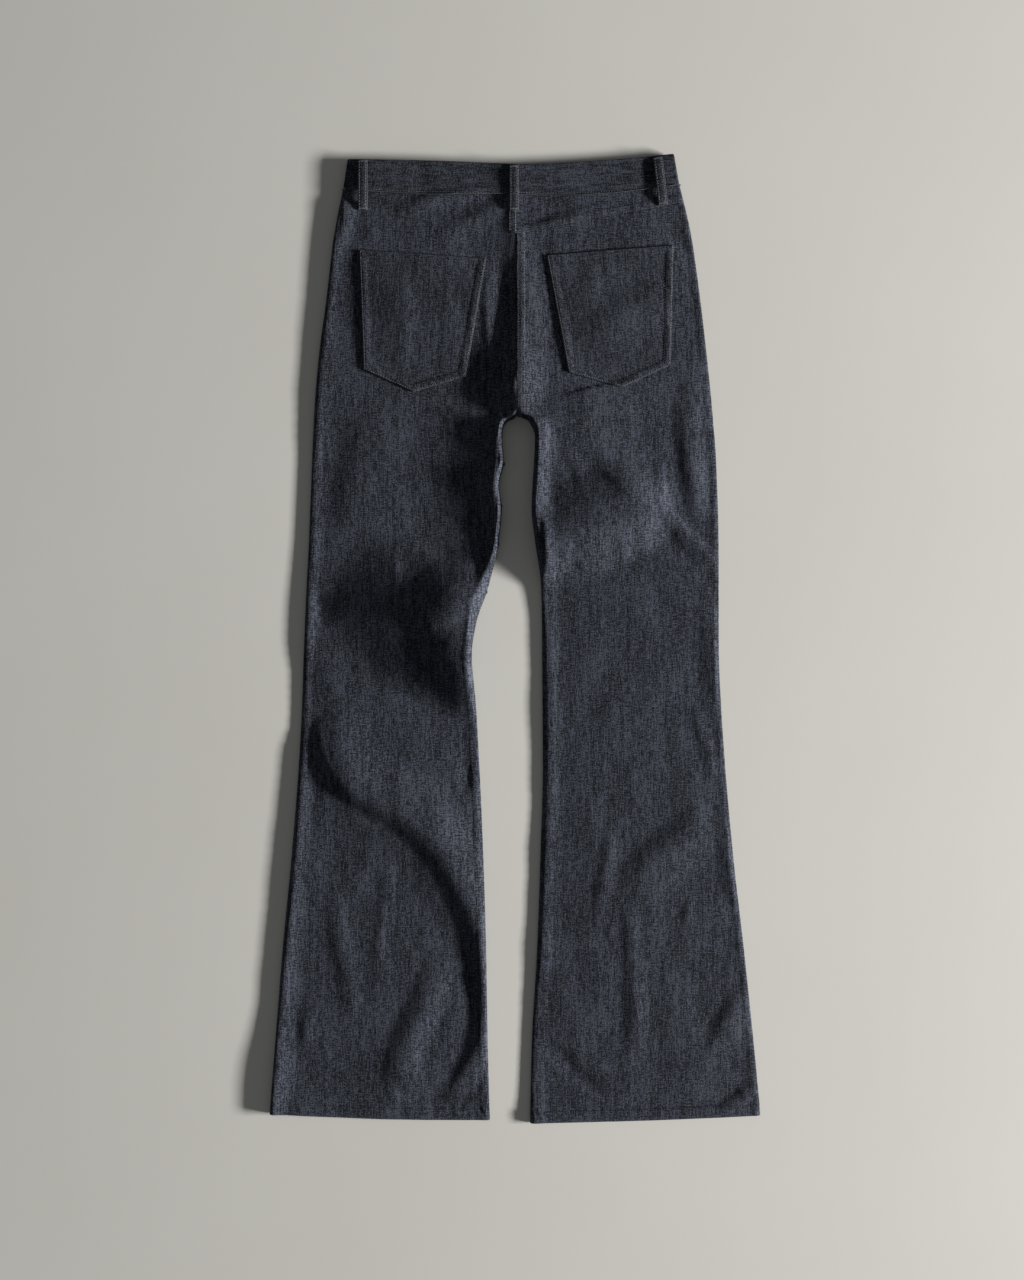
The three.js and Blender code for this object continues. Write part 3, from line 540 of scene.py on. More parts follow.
def column_shares(side, at, outer_columns, inner_columns, middle):
    width = row_width(row_ends(side, at))[:, None]
    first = np.array(outer_columns, float)[None, :]
    last = width - np.array(inner_columns, float)[None, :]
    between = (np.arange(middle) + 1)[None, :] / (middle + 1)
    spread = mix(outer_columns[-1], width - inner_columns[0], between)
    return np.hstack([first + 0 * width, spread, last]) / width


def back_shares(side, at):
    return column_shares(side, at, OUTER_COLUMNS, INNER_COLUMNS, BACK_MIDDLE)


def front_shares(side, at):
    return column_shares(side, at, FRONT_OUTER_COLUMNS, FRONT_INNER_COLUMNS, FRONT_MIDDLE)


def back_points(side, at, across, proud=0.0, shift=0.0, detail=None):
    """Points of the seat side's outer surface, a row for each at and a column for each share."""
    ends = {name: value[:, None] for name, value in row_ends(side, at).items()}
    x, y = place_on(ends, across)
    low = height_at("low", ends["inner_y"])
    ridge = height_at(side["name"] + "_ridge", ends["inner_y"]) - low
    reach = height_at(side["name"] + "_reach", ends["inner_y"])
    to_inner = (1 - across) * row_width(ends)
    high = mix(height_at("edge", ends["outer_y"]), low, across) + proud
    high = high + height_at("crown", y) * np.sin(np.pi * across)
    high = high + ridge * (1 - soft(to_inner / reach))
    high = high + fold_height(x, y, FOLDS)
    outer, inner = edge_distances(side, x, y)
    edge = np.minimum(outer, inner)
    if detail is not None:
        high = high + soft(edge / 5) * detail(side, x, y, at[:, None], to_inner, outer, inner)
    seam = seam_height(ends, across)
    high = mix(seam, high, quarter(edge / (ROUND_SHARE * (high - seam) + ROUND_LEAST)))
    return np.dstack([x, y + shift, high])


def front_points(side, at, across, gap, shift=0.0):
    """Points of the front's outer surface, which lies on the floor and lifts towards the waist."""
    ends = {name: value[:, None] for name, value in row_ends(side, at).items()}
    x, y = place_on(ends, across)
    waist = row_ends(side, np.array([float(WAIST_SEAM)]))
    waist_y = place_on({name: value[:, None] for name, value in waist.items()}, across)[1]
    dip = FRONT_DIP * soft(across) * np.ones_like(x)
    lowered = y - dip * np.clip(YOKE_SEAM - at[:, None], 0, 1)
    below = waist_y - dip - lowered
    lift = FRONT_LIFT * soft((FRONT_LIFT_GONE - below) / (FRONT_LIFT_GONE - FRONT_LIFT_HELD))
    rise = seam_height(ends, across) - gap - lift
    edge = np.minimum(*edge_distances(side, x, y))
    high = lift + rise * (1 - quarter(edge / (0.6 * rise + 1.2)))
    return np.dstack([x, lowered + shift, high])


# Meshes
def grid_normals(grid):
    down = np.gradient(grid, axis=0)
    over = np.gradient(grid, axis=1)
    return np.cross(down, over)


def unit(vectors):
    return vectors / np.maximum(np.linalg.norm(vectors, axis=-1, keepdims=True), 1e-12)


def inner_grid(grid, thickness, sign, rims=None):
    """The grid moved in along its normals, kept level at its rims and in plane at a centre seam."""
    normals = grid_normals(grid)
    if rims is not None:
        normals[:, 0, 2] = 0
        normals[rims, -1, 2] = 0
        normals[~rims, -1, 0] = 0
    return grid + sign * unit(normals) * thickness


def slab_faces(rows, columns):
    """Faces of a closed shell between two grids, the first grid's points before the second's."""
    first = np.arange(rows * columns).reshape(rows, columns)
    second = first + rows * columns
    quads = lambda a, b, c, d: np.stack([a, b, c, d], axis=-1).reshape(-1, 4)
    return np.vstack([
        quads(first[:-1, :-1], first[1:, :-1], first[1:, 1:], first[:-1, 1:]),
        quads(second[:-1, :-1], second[:-1, 1:], second[1:, 1:], second[1:, :-1]),
        quads(first[:-1, 0], second[:-1, 0], second[1:, 0], first[1:, 0]),
        quads(first[1:, -1], second[1:, -1], second[:-1, -1], first[:-1, -1]),
        quads(first[0, 1:], second[0, 1:], second[0, :-1], first[0, :-1]),
        quads(first[-1, :-1], second[-1, :-1], second[-1, 1:], first[-1, 1:]),
    ])


def volume_of(points, faces):
    total = 0.0
    for k in range(1, faces.shape[1] - 1):
        a, b, c = points[faces[:, 0]], points[faces[:, k]], points[faces[:, k + 1]]
        total += np.einsum("ij,ij->", a, np.cross(b, c))
    return total / 6


def add_mesh(name, points, faces, material, smooth_angle=50):
    """A mesh object from points in millimetres, with its faces turned outwards."""
    if volume_of(points, faces) < 0:
        faces = faces[:, ::-1]
    mesh = bpy.data.meshes.new(name)
    mesh.vertices.add(len(points))
    mesh.vertices.foreach_set("co", (points * MM).astype(np.float32).ravel())
    sides = faces.shape[1]
    mesh.loops.add(faces.size)
    mesh.loops.foreach_set("vertex_index", faces.astype(np.int32).ravel())
    mesh.polygons.add(len(faces))
    mesh.polygons.foreach_set("loop_start", np.arange(0, faces.size, sides, dtype=np.int32))
    mesh.update(calc_edges=True)
    mesh.polygons.foreach_set("use_smooth", np.ones(len(faces), bool))
    mesh.set_sharp_from_angle(angle=math.radians(smooth_angle))
    mesh.materials.append(material)
    piece = bpy.data.objects.new(name, mesh)
    bpy.context.scene.collection.objects.link(piece)
    return piece


def set_attribute(piece, name, kind, values):
    attribute = piece.data.attributes.new(name, kind, "POINT")
    key = "vector" if kind == "FLOAT_VECTOR" else "value"
    attribute.data.foreach_set(key, np.asarray(values, np.float32).ravel())


def add_cloth(name, upper, lower, material, grain=0.0, worn=None, cloth_xy=None):
    """A closed shell of cloth. grain turns the warp from +Y, in degrees."""
    rows, columns = upper.shape[:2]
    points = np.vstack([upper.reshape(-1, 3), lower.reshape(-1, 3)])
    piece = add_mesh(name, points, slab_faces(rows, columns), material)
    turn = math.radians(grain)
    flat = points[:, :2] if cloth_xy is None else np.vstack([cloth_xy.reshape(-1, 2)] * 2)
    across = flat[:, 0] * math.cos(turn) + flat[:, 1] * math.sin(turn)
    upwards = flat[:, 1] * math.cos(turn) - flat[:, 0] * math.sin(turn)
    inside = np.repeat([0.0, 1.0], rows * columns)
    set_attribute(piece, "cloth", "FLOAT_VECTOR", np.column_stack([across, upwards, inside]) * MM)
    set_attribute(piece, "inside", "FLOAT", inside)
    worn = np.zeros((rows, columns)) if worn is None else worn
    set_attribute(piece, "wear", "FLOAT", np.concatenate([worn.ravel(), 0 * worn.ravel()]))
    return piece


def declare(piece, node):
    """Hides the solid that a cloth piece stands for and hangs the piece on the body."""
    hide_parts(node)
    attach(piece, BODY)


# Materials
class Shader:
    """Builds a node material: add makes a node, and its inputs are values or other sockets."""

    def __init__(self, name):
        self.material = bpy.data.materials.new(name)
        self.material.use_nodes = True
        self.tree = self.material.node_tree
        self.tree.nodes.clear()

    def add(self, kind, inputs=None, output=0, **settings):
        node = self.tree.nodes.new("ShaderNode" + kind)
        for name, value in settings.items():
            setattr(node, name, value)
        for name, value in (inputs or {}).items():
            if isinstance(value, bpy.types.NodeSocket):
                self.tree.links.new(value, node.inputs[name])
            else:
                node.inputs[name].default_value = value
        return node.outputs[output]

    def math(self, operation, a, b=0.0, c=0.0):
        return self.add("Math", {0: a, 1: b, 2: c}, operation=operation)

    def attribute(self, name, output="Fac"):
        return self.add("Attribute", attribute_name=name, output=output)

    def scaled(self, vector, sizes):
        return self.add("VectorMath", {0: vector, 1: [1 / size for size in sizes]}, operation="MULTIPLY")

    def noise(self, vector, sizes, detail=2.0, rough=0.5):
        where = self.scaled(vector, sizes)
        return self.add("TexNoise", {"Vector": where, "Scale": 1.0, "Detail": detail, "Roughness": rough})

    def blend(self, share, first, second):
        node = self.tree.nodes.new("ShaderNodeMix")
        node.data_type = "RGBA"
        colour = {s.name: s for s in node.inputs if s.type == "RGBA"}
        factor = next(s for s in node.inputs if s.name == "Factor" and s.type == "VALUE")
        for target, value in ((factor, share), (colour["A"], first), (colour["B"], second)):
            if isinstance(value, bpy.types.NodeSocket):
                self.tree.links.new(value, target)
            else:
                target.default_value = value
        return next(s for s in node.outputs if s.type == "RGBA")

    def finish(self, surface):
        out = self.tree.nodes.new("ShaderNodeOutputMaterial")
        self.tree.links.new(surface, out.inputs["Surface"])
        return self.material


def rgb(red, green, blue):
    return (red, green, blue, 1.0)


# Denim's layers of noise: sizes across, up and through the cloth in metres, detail, roughness, weight
DENIM_NOISE = {
    "grain": ((0.0017, 0.0016, 0.01), 1.0, 0.5, 0.40),
    "slub": ((0.0016, 0.013, 0.01), 2.0, 0.6, 0.34),
    "hatch": ((0.008, 0.0014, 0.01), 1.0, 0.5, 0.26),
    "streak": ((0.0045, 0.075, 0.01), 2.0, 0.5, 0.16),
    "cloud": ((0.03, 0.07, 0.05), 3.0, 0.55, 0.16),
}
NOISE_MIDDLE = 0.66
NOISE_GAIN = 5.6
NOISE_LEVEL = 0.58
NOISE_POWER = 1.7
TWILL_ANGLE = -38
TWILL_SCALE = 260.0


def denim(name, dark, light, weft):
    """Raw black-grey denim: short slubs over long warp streaks, a broken weft hatch and soft clouds."""
    s = Shader(name)
    cloth = s.attribute("cloth", "Vector")
    layers = {name: s.noise(cloth, *row[:3]) for name, row in DENIM_NOISE.items()}
    grain, slub = layers["grain"], layers["slub"]
    total = s.math("MULTIPLY", grain, DENIM_NOISE["grain"][3])
    for name in ("slub", "hatch", "streak", "cloud"):
        total = s.math("MULTIPLY_ADD", layers[name], DENIM_NOISE[name][3], total)
    spread = s.math("MULTIPLY_ADD", s.math("SUBTRACT", total, NOISE_MIDDLE), NOISE_GAIN, NOISE_LEVEL)
    share = s.math("POWER", s.add("Clamp", {"Value": spread}), NOISE_POWER)
    colour = s.blend(share, rgb(*dark), rgb(*light))
    colour = s.blend(s.math("MULTIPLY", s.attribute("wear"), s.math("MULTIPLY_ADD", slub, 0.6, 0.2)),
                     colour, rgb(*weft))
    colour = s.blend(s.math("MULTIPLY", s.attribute("inside"), 0.75), colour, rgb(*weft))
    turned = {"Vector": cloth, "Angle": math.radians(TWILL_ANGLE)}
    twill_at = s.add("VectorRotate", turned, rotation_type="Z_AXIS")
    twill = s.add("TexWave", {"Vector": twill_at, "Scale": TWILL_SCALE, "Distortion": 1.2, "Detail": 1.0,
                              "Detail Scale": 3.0}, output="Fac", bands_direction="X")
    relief = s.math("MULTIPLY_ADD", twill, 0.4, s.math("MULTIPLY_ADD", slub, 1.0, grain))
    bump = s.add("Bump", {"Height": relief, "Strength": 0.5, "Distance": 0.0005})
    rough = s.math("MULTIPLY_ADD", slub, 0.12, 0.84)
    surface = s.add("BsdfPrincipled", {
        "Base Color": colour,
        "Roughness": rough,
        "Normal": bump,
        "Specular IOR Level": 0.14,
        "Sheen Weight": 0.06,
        "Sheen Roughness": 0.5,
        "Sheen Tint": rgb(0.55, 0.6, 0.78),
    })
    return s.finish(surface)


def thread(name, dark, light):
    """Twisted sewing thread, a little lighter or darker from stitch to stitch."""
    s = Shader(name)
    cloth = s.attribute("cloth", "Vector")
    twist = s.add("TexWave", {"Vector": cloth, "Scale": 900.0, "Distortion": 0.5}, output="Fac",
                  bands_direction="DIAGONAL")
    share = s.math("MULTIPLY_ADD", twist, 0.35, s.math("MULTIPLY", s.attribute("shade"), 0.65))
    bump = s.add("Bump", {"Height": twist, "Strength": 0.5, "Distance": 0.0002})
    surface = s.add("BsdfPrincipled", {
        "Base Color": s.blend(share, rgb(*dark), rgb(*light)),
        "Roughness": s.math("MULTIPLY_ADD", twist, 0.1, 0.55),
        "Normal": bump,
        "Specular IOR Level": 0.3,
        "Sheen Weight": 0.1,
    })
    return s.finish(surface)


def aged_metal():
    """Satin aged brass with darker patches of patina and fine scratches."""
    s = Shader("aged_metal")
    place = s.add("TexCoord", output="Object")
    patina = s.noise(place, (0.004, 0.004, 0.004), 4.0, 0.6)
    scratch = s.noise(place, (0.0004, 0.004, 0.004), 2.0, 0.5)
    colour = s.blend(patina, rgb(0.16, 0.13, 0.1), rgb(0.5, 0.42, 0.32))
    bump = s.add("Bump", {"Height": scratch, "Strength": 0.2, "Distance": 0.0001})
    surface = s.add("BsdfPrincipled", {
        "Base Color": colour,
        "Roughness": s.math("MULTIPLY_ADD", patina, 0.25, 0.25),
        "Metallic": 1.0,
        "Normal": bump,
    })
    return s.finish(surface)


def pale_floor():
    s = Shader("pale_floor")
    place = s.add("TexCoord", output="Object")
    cloud = s.noise(place, (0.5, 0.5, 0.5), 5.0, 0.6)
    colour = s.blend(cloud, rgb(0.60, 0.585, 0.545), rgb(0.66, 0.65, 0.615))
    surface = s.add("BsdfPrincipled", {
        "Base Color": colour,
        "Roughness": s.math("MULTIPLY_ADD", cloud, 0.1, 0.8),
        "Specular IOR Level": 0.3,
    })
    return s.finish(surface)


PANEL_DENIM = denim("panel_denim", (0.0050, 0.0060, 0.0092), (0.066, 0.074, 0.097), (0.085, 0.095, 0.115))
BAND_DENIM = denim("band_denim", (0.0050, 0.0060, 0.0090), (0.058, 0.065, 0.084), (0.08, 0.09, 0.11))
POCKET_DENIM = denim("pocket_denim", (0.0050, 0.0060, 0.0090), (0.060, 0.067, 0.088), (0.08, 0.09, 0.11))
LOOP_DENIM = denim("loop_denim", (0.0050, 0.0060, 0.0088), (0.056, 0.062, 0.080), (0.09, 0.10, 0.12))
GREY_THREAD = thread("grey_thread", (0.10, 0.10, 0.11), (0.26, 0.26, 0.27))
TONAL_THREAD = thread("tonal_thread", (0.045, 0.048, 0.055), (0.13, 0.135, 0.145))
DARK_THREAD = thread("dark_thread", (0.006, 0.007, 0.010), (0.022, 0.024, 0.029))


# Rows along a panel
def fine_rows(side, start, end, pitch, dense_start=True, dense_end=True):
    """Fractional lines from start to end, about pitch apart and closer at the two ends."""
    values = []
    for line in range(start, end):
        ends = row_ends(side, np.array([line, line + 1.0]))
        length = max(math.hypot(np.diff(ends[edge + "_x"]).item(), np.diff(ends[edge + "_y"]).item())
                     for edge in ("outer", "inner"))
        steps = max(1, math.ceil(length / pitch))
        share = list(np.arange(steps) / steps)
        if line == start and dense_start:
            share += [distance / length for distance in END_ROWS]
        if line == end - 1 and dense_end:
            share += [1 - distance / length for distance in END_ROWS]
        values += [line + value for value in sorted(share)]
    return np.array([*values, float(end)])


def row_shift(at, start, end, trim_end):
    """Half a seam's gap at the sewn ends of a panel."""
    shift = np.where(at == start, -SEAM_GAP / 2, 0.0)
    return (shift + np.where((at == end) & trim_end, SEAM_GAP / 2, 0.0))[:, None]


# Fine relief of the seat side
HEM_DEEP = 14.5
HEM_STEP = 0.75
HEM_ROPE = {"pitch": 8.3, "high": 0.34, "slant": 0.5}
YOKE_ROPE = {"pitch": 9.1, "high": 0.16}
FELLED_WIDTH = 9.6
FELLED_STEP = {"seat": 0.95, "yoke": 0.7}
PUCKER = {"pitch": 13, "share": 0.2}
YOKE_STEP = 0.9
STITCH_DENT = {"seat": 0.35, "yoke": 0.3, "band": 0.3}
SEAT_STITCHES = (1.9, 8.2)
YOKE_STITCHES = (1.8, 7.6)
ALLOWANCES = {
    "left": {"outer": (10.5, 0.9), "inner": (11.0, 0.5)},
    "right": {"outer": (9.0, 0.5), "inner": (15.5, 0.55)},
}


def line_distance(side, line, x, y):
    """Distance along the leg from an outline line, positive below it."""
    ends = row_ends(side, np.array([float(line)]))
    across = np.clip((x - ends["outer_x"]) / (ends["inner_x"] - ends["outer_x"]), 0, 1)
    return place_on(ends, across)[1] - y


def wrinkles(x, y):
    """Soft unevenness of stiff cloth, longer along the warp."""
    large = value_noise(x, y, 52, 96, 3)
    middle = value_noise(x + 0.3 * y, y, 23, 40, 5)
    small = value_noise(x, y, 10, 19, 9)
    return 0.6 * large + 0.38 * middle + 0.1 * small


def leg_detail(side, x, y, at, to_inner, outer, inner):
    high = fold_height(x, y, CREASES) + wrinkles(x, y)
    to_hem = -line_distance(side, side["last"], x, y)
    along_hem = (x + HEM_ROPE["slant"] * to_hem) / HEM_ROPE["pitch"]
    rope = np.sin(2 * np.pi * along_hem + 2.2 * value_noise(x, y, 23, 40, 17))
    high = high + HEM_STEP * soft((HEM_DEEP - to_hem) / 1.6)
    roped = soft((HEM_DEEP + 5 - to_hem) / 6) * dent(to_hem - HEM_DEEP + 3, 12)
    high = high + HEM_ROPE["high"] * rope * roped
    below_crotch = soft((at - CROTCH) / 1.5)
    for distance, key, share in ((outer, "outer", 1.0), (inner, "inner", below_crotch)):
        width, rise = ALLOWANCES[side["name"]][key]
        wave = np.sin(2 * np.pi * y / PUCKER["pitch"] + 3 * value_noise(x, y, 30, 30, 21))
        pucker = 1 + PUCKER["share"] * wave
        high = high + share * rise * pucker * soft((width - distance) / 2.6)
    felled = (1 - below_crotch) if side["name"] == "right" else 0
    high = high + felled * FELLED_STEP["seat"] * soft((FELLED_WIDTH - to_inner) / 1.4)
    for stitch in SEAT_STITCHES:
        high = high - felled * STITCH_DENT["seat"] * dent(to_inner - stitch, 1.5)
    return high - 0.25 * soft(1 - to_inner / 3) * (1 - below_crotch)


def yoke_detail(side, x, y, at, to_inner, outer, inner):
    to_lower = -line_distance(side, YOKE_SEAM, x, y)
    high = fold_height(x, y, CREASES) + wrinkles(x, y)
    lip = soft((YOKE_STITCHES[1] + 2.4 - to_lower) / 1.8)
    rope = np.sin(2 * np.pi * x / YOKE_ROPE["pitch"] + 2.5 * value_noise(x, y, 25, 25, 31))
    high = high + lip * (YOKE_STEP + YOKE_ROPE["high"] * rope)
    for stitch in YOKE_STITCHES:
        high = high - STITCH_DENT["yoke"] * dent(to_lower - stitch, 1.4)
    felled = 1.0 if side["name"] == "left" else 0.0
    return high + felled * FELLED_STEP["yoke"] * soft((FELLED_WIDTH - to_inner) / 1.4)


def edge_roll(distance, radius):
    """How far a folded edge's surface drops at a distance in from the fold."""
    return radius * (1 - quarter(distance / radius))


# Seat side panels
START_ROLL = 0.45
END_ROLL = 0.8


def add_back_panel(name, side, start, end, detail, fold_start, fold_end):
    at = fine_rows(side, start, end, BACK_PITCH)
    shift = row_shift(at, start, end, name.startswith("yoke"))
    shares = back_shares(side, at)
    upper = back_points(side, at, shares, 0.0, shift, detail)
    x, y = upper[..., 0], upper[..., 1]
    from_start = np.abs(line_distance(side, start, x, y))
    from_end = np.abs(line_distance(side, end, x, y))
    thickness = np.where(at > HEM_FOLD, HEM_CLOTH, CLOTH)[:, None] + 0 * x
    drop = np.zeros_like(x)
    if fold_start:
        drop = drop + edge_roll(from_start, START_ROLL)
    if fold_end:
        drop = drop + edge_roll(from_end, END_ROLL)
    rims = at >= CROTCH
    sign = side["towards"]
    lower = inner_grid(upper, thickness[..., None], sign, rims)
    upper[:, 1:-1, 2] -= drop[:, 1:-1]
    worn = 0.35 * dent(from_end - 1.0, 3) if fold_end else np.zeros_like(x)
    piece = add_cloth(name + "_cloth", upper, lower, PANEL_DENIM, worn=worn)
    declare(piece, name)


for side in SIDES.values():
    name = side["name"]
    add_back_panel("yoke_" + name, side, WAIST_SEAM, YOKE_SEAM, yoke_detail, False, True)
    add_back_panel("back_leg_" + name, side, YOKE_SEAM, side["last"], leg_detail, True, True)


# Front panels
def add_front_panel(side):
    at = fine_rows(side, WAIST_SEAM, side["last"], FRONT_PITCH)
    shift = row_shift(at, WAIST_SEAM, side["last"], False)
    outside = front_points(side, at, front_shares(side, at), SEAM_GAP, shift)
    thickness = np.where(at > HEM_FOLD, HEM_CLOTH, CLOTH)[:, None, None]
    inside = inner_grid(outside, thickness, -side["towards"], at >= CROTCH)
    name = "front_leg_" + side["name"]
    piece = add_cloth(name + "_cloth", outside, inside, PANEL_DENIM)
    declare(piece, name)


for side in SIDES.values():
    add_front_panel(side)


# Looking down on finished pieces
DOWN = Vector((0, 0, -1))
UP = Vector((0, 0, 1))


class Ground:
    """The surface of some finished pieces, seen from above or, for an underside, from below."""

    def __init__(self, names, below=False):
        graph = bpy.context.evaluated_depsgraph_get()
        self.trees = [BVHTree.FromObject(bpy.data.objects[name], graph) for name in names]
        self.below = below

    def hit(self, x, y):
        """Height in millimetres and outward normal at a place."""
        start, way = (-0.1, UP) if self.below else (0.1, DOWN)
        hits = [tree.ray_cast(Vector((x * MM, y * MM, start)), way) for tree in self.trees]
        found = [(place.z / MM, normal) for place, normal, _, _ in hits if place is not None]
        if not found:
            return 0.0, -way
        high, normal = (min if self.below else max)(found, key=lambda pair: pair[0])
        return high, normal if normal.dot(way) < 0 else -normal

    def heights(self, x, y):
        flat = [self.hit(a, b)[0] for a, b in zip(x.ravel(), y.ravel())]
        return np.array(flat).reshape(x.shape)


def spread(length, dense, pitch):
    """Distances from 0 to length, dense at both ends and even between them."""
    dense = np.array(dense, float)
    middle = max(1, math.ceil((length - 2 * dense[-1]) / pitch))
    between = np.linspace(dense[-1], length - dense[-1], middle + 1)[1:-1]
    return np.concatenate([dense, between, (length - dense)[::-1]])


def settle(high, rounds):
    """Evens out small bumps in a grid of heights, as thick cloth does."""
    for _ in range(rounds):
        padded = np.pad(high, 1, mode="edge")
        high = (padded[:-2, 1:-1] + padded[2:, 1:-1] + padded[1:-1, :-2] + padded[1:-1, 2:] + 2 * high) / 6
    return high


# Waistband: one strip from its buttoned end, round the seat and back to its underlap
BAND_LENGTH = 35.8
BAND_STITCH = 2.0
BAND_EDGE = [0, 0.12, 0.4, 0.8, 1.4, 2.2]
BAND_PITCH = 2.4
LAP_COLUMNS = (6, LAP_END)
UNDERLAP_START = -4
UNDERLAP_COLUMNS = 12


def band_detail(side, x, y, at, to_inner, outer, inner):
    high = fold_height(x, y, CREASES) + 0.55 * wrinkles(1.3 * x, 0.6 * y)
    high = high + 0.22 * value_noise(x, y, 9, 30, 41)
    return high - STITCH_DENT["band"] * dent((1 - at) * BAND_LENGTH - BAND_STITCH, 1.5)


def band_front(side, at, shift, ends, is_under):
    outer = row_ends(side, at)["outer_x"][:, None]
    inner = row_ends(side, at)["inner_x"][:, None]
    beyond = [(x - outer) / (inner - outer) for x in ends]
    shares = np.hstack([front_shares(side, at)[:, 1:-1], *beyond])
    points = front_points(side, at, shares, 0.0, shift)
    if is_under:
        rise = (UNDERLAP_RISE_FROM - points[..., 0]) / (UNDERLAP_RISE_FROM - UNDERLAP_RISE_TO)
        points[..., 2] += (BAND_CLOTH + SEAM_GAP) * soft(rise)
    return points


def add_waistband():
    distance = spread(BAND_LENGTH, BAND_EDGE, BAND_PITCH)
    at = distance / BAND_LENGTH
    shift = np.where(at == 1, SEAM_GAP / 2, 0.0)[:, None]
    left, right = SIDES["left"], SIDES["right"]
    seat = [back_points(side, at, back_shares(side, at)[:, :-1], BAND_PROUD, shift, band_detail)
            for side in (left, right)]
    underlap = np.linspace(UNDERLAP_START, UNDERLAP_END, UNDERLAP_COLUMNS)
    lapped = band_front(left, at, shift, LAP_COLUMNS, False)
    under = band_front(right, at, shift, underlap, True)
    ring = np.hstack([lapped[:, ::-1], seat[0], seat[1][:, ::-1], under])
    radius = BAND_CLOTH / 2
    inset = np.minimum(distance, BAND_LENGTH - distance)[:, None, None]
    thickness = BAND_CLOTH * quarter(np.maximum(inset, BAND_EDGE[1]) / radius)
    drop = radius - thickness / 2
    outside = inner_grid(ring, drop, -1)
    inside = inner_grid(ring, drop + thickness, -1)
    step = np.linalg.norm(np.diff(ring[0], axis=0), axis=1)
    length = np.concatenate([[0], np.cumsum(step)])
    cloth_xy = np.dstack(np.meshgrid(length, -distance))[..., ::-1]
    piece = add_cloth("waistband_cloth", outside, inside, BAND_DENIM, cloth_xy=cloth_xy)
    declare(piece, "waistband")


add_waistband()

# Patch pockets
POCKET_PLACES = {
    "left": {"top": (-107.9, 450.2), "tilt": -3.9},
    "right": {"top": (111.4, 454.8), "tilt": 4.6},
}
POCKET_EDGE = [0, 0.15, 0.45, 0.9, 1.4, 2.0, 2.8, 3.8, 5.0, 6.2, 7.2, 8.2, 9.4]
POCKET_PITCH = 2.6
POCKET_STITCHES = (1.7, 7.4)
POCKET_HEM = 7.0
POCKET_STEP = {"sewn": 0.75, "hem": 0.6}
POCKET_DENT = {"sewn": 0.32, "hem": 0.25}
POCKET_PUCKER = {"pitch": 9.4, "share": 0.22}
POCKET_WAVE = 0.25


def on_pocket(place, local_x, local_y):
    turn = math.radians(place["tilt"])
    x = place["top"][0] + local_x * math.cos(turn) - local_y * math.sin(turn)
    y = place["top"][1] + local_x * math.sin(turn) + local_y * math.cos(turn)
    return x, y


def pocket_half(down):
    return mix(POCKET["top_half"], POCKET["low_half"], np.clip(down / POCKET["side"], 0, 1))


def add_pocket(side_name):
    place = POCKET_PLACES[side_name]
    across = spread(2 * POCKET["top_half"], POCKET_EDGE, POCKET_PITCH) / POCKET["top_half"] - 1
    down = spread(POCKET["point"], POCKET_EDGE, POCKET_PITCH) / POCKET["point"]
    across, down = np.meshgrid(across, down)
    depth = POCKET["side"] + (POCKET["point"] - POCKET["side"]) * (1 - np.abs(across))
    local_y = -down * depth
    half = pocket_half(-local_y)
    local_x = across * half
    slant = math.atan2(POCKET["point"] - POCKET["side"], POCKET["low_half"])
    to_bottom = (depth + local_y) * math.cos(slant)
    to_side = half - np.abs(local_x)
    sewn = np.minimum(to_side, to_bottom)
    edge = np.minimum(sewn, -local_y)
    x, y = on_pocket(place, local_x, local_y)
    ground = settle(Ground([f"back_leg_{side_name}_cloth"]).heights(x, y), 4) + SEAM_GAP
    wave = np.sin(2 * np.pi * (x + y) / POCKET_PUCKER["pitch"] + 3 * value_noise(x, y, 20, 20, 51))
    pucker = 1 + POCKET_PUCKER["share"] * wave
    raised = POCKET_STEP["sewn"] * soft((POCKET_STITCHES[1] + 1.6 - sewn) / 1.8) * pucker
    raised = np.maximum(raised, POCKET_STEP["hem"] * soft((POCKET_HEM + 1.2 + local_y) / 1.6))
    for stitch in POCKET_STITCHES:
        raised = raised - POCKET_DENT["sewn"] * dent(sewn - stitch, 1.3) * soft((-local_y - 1) / 2)
    raised = raised - POCKET_DENT["hem"] * dent(-local_y - POCKET_HEM, 1.3)
    raised = raised + POCKET_WAVE * value_noise(local_x, local_y, 24, 50, 61)
    full = (POCKET_CLOTH + raised) * mix(0.2, 1.0, quarter(edge / 1.1))
    lower = np.dstack([x, y, ground])
    upper = np.dstack([x, y, ground + full])
    worn = 0.3 * dent(edge - 0.8, 1.8)
    name = "back_pocket_" + side_name
    piece = add_cloth(name + "_cloth", upper, lower, POCKET_DENIM, place["tilt"], worn)
    declare(piece, name)


for side_name in SIDES:
    add_pocket(side_name)


# Belt loops
BACK_LOOPS = {
    "belt_loop_back_left": ((-177.9, 560.6), (-177.9, 501.6)),
    "belt_loop_back_centre": ((-1.1, 553.9), (-1.1, 500.2)),
    "belt_loop_back_right": ((166.7, 564.0), (173.2, 507.4)),
}
LOOP_STITCH = 3.5
LOOP_EDGE = [0, 0.15, 0.45, 0.9, 1.5]
LOOP_PITCH = {"along": 1.6, "across": 0.7}
LOOP_SLACK = 2.2
LOOP_RIDGE = 0.35


def strap_profile(across):
    """Height of a folded strap's face above its plain plane, rounded at its edges."""
    half = LOOP_WIDTH / 2
    roll = -0.9 * (1 - quarter((half - np.abs(across)) / 1.3))
    return roll + LOOP_RIDGE * dent(across, 4.2) - 0.28 * dent(np.abs(across) - LOOP_STITCH, 0.9)


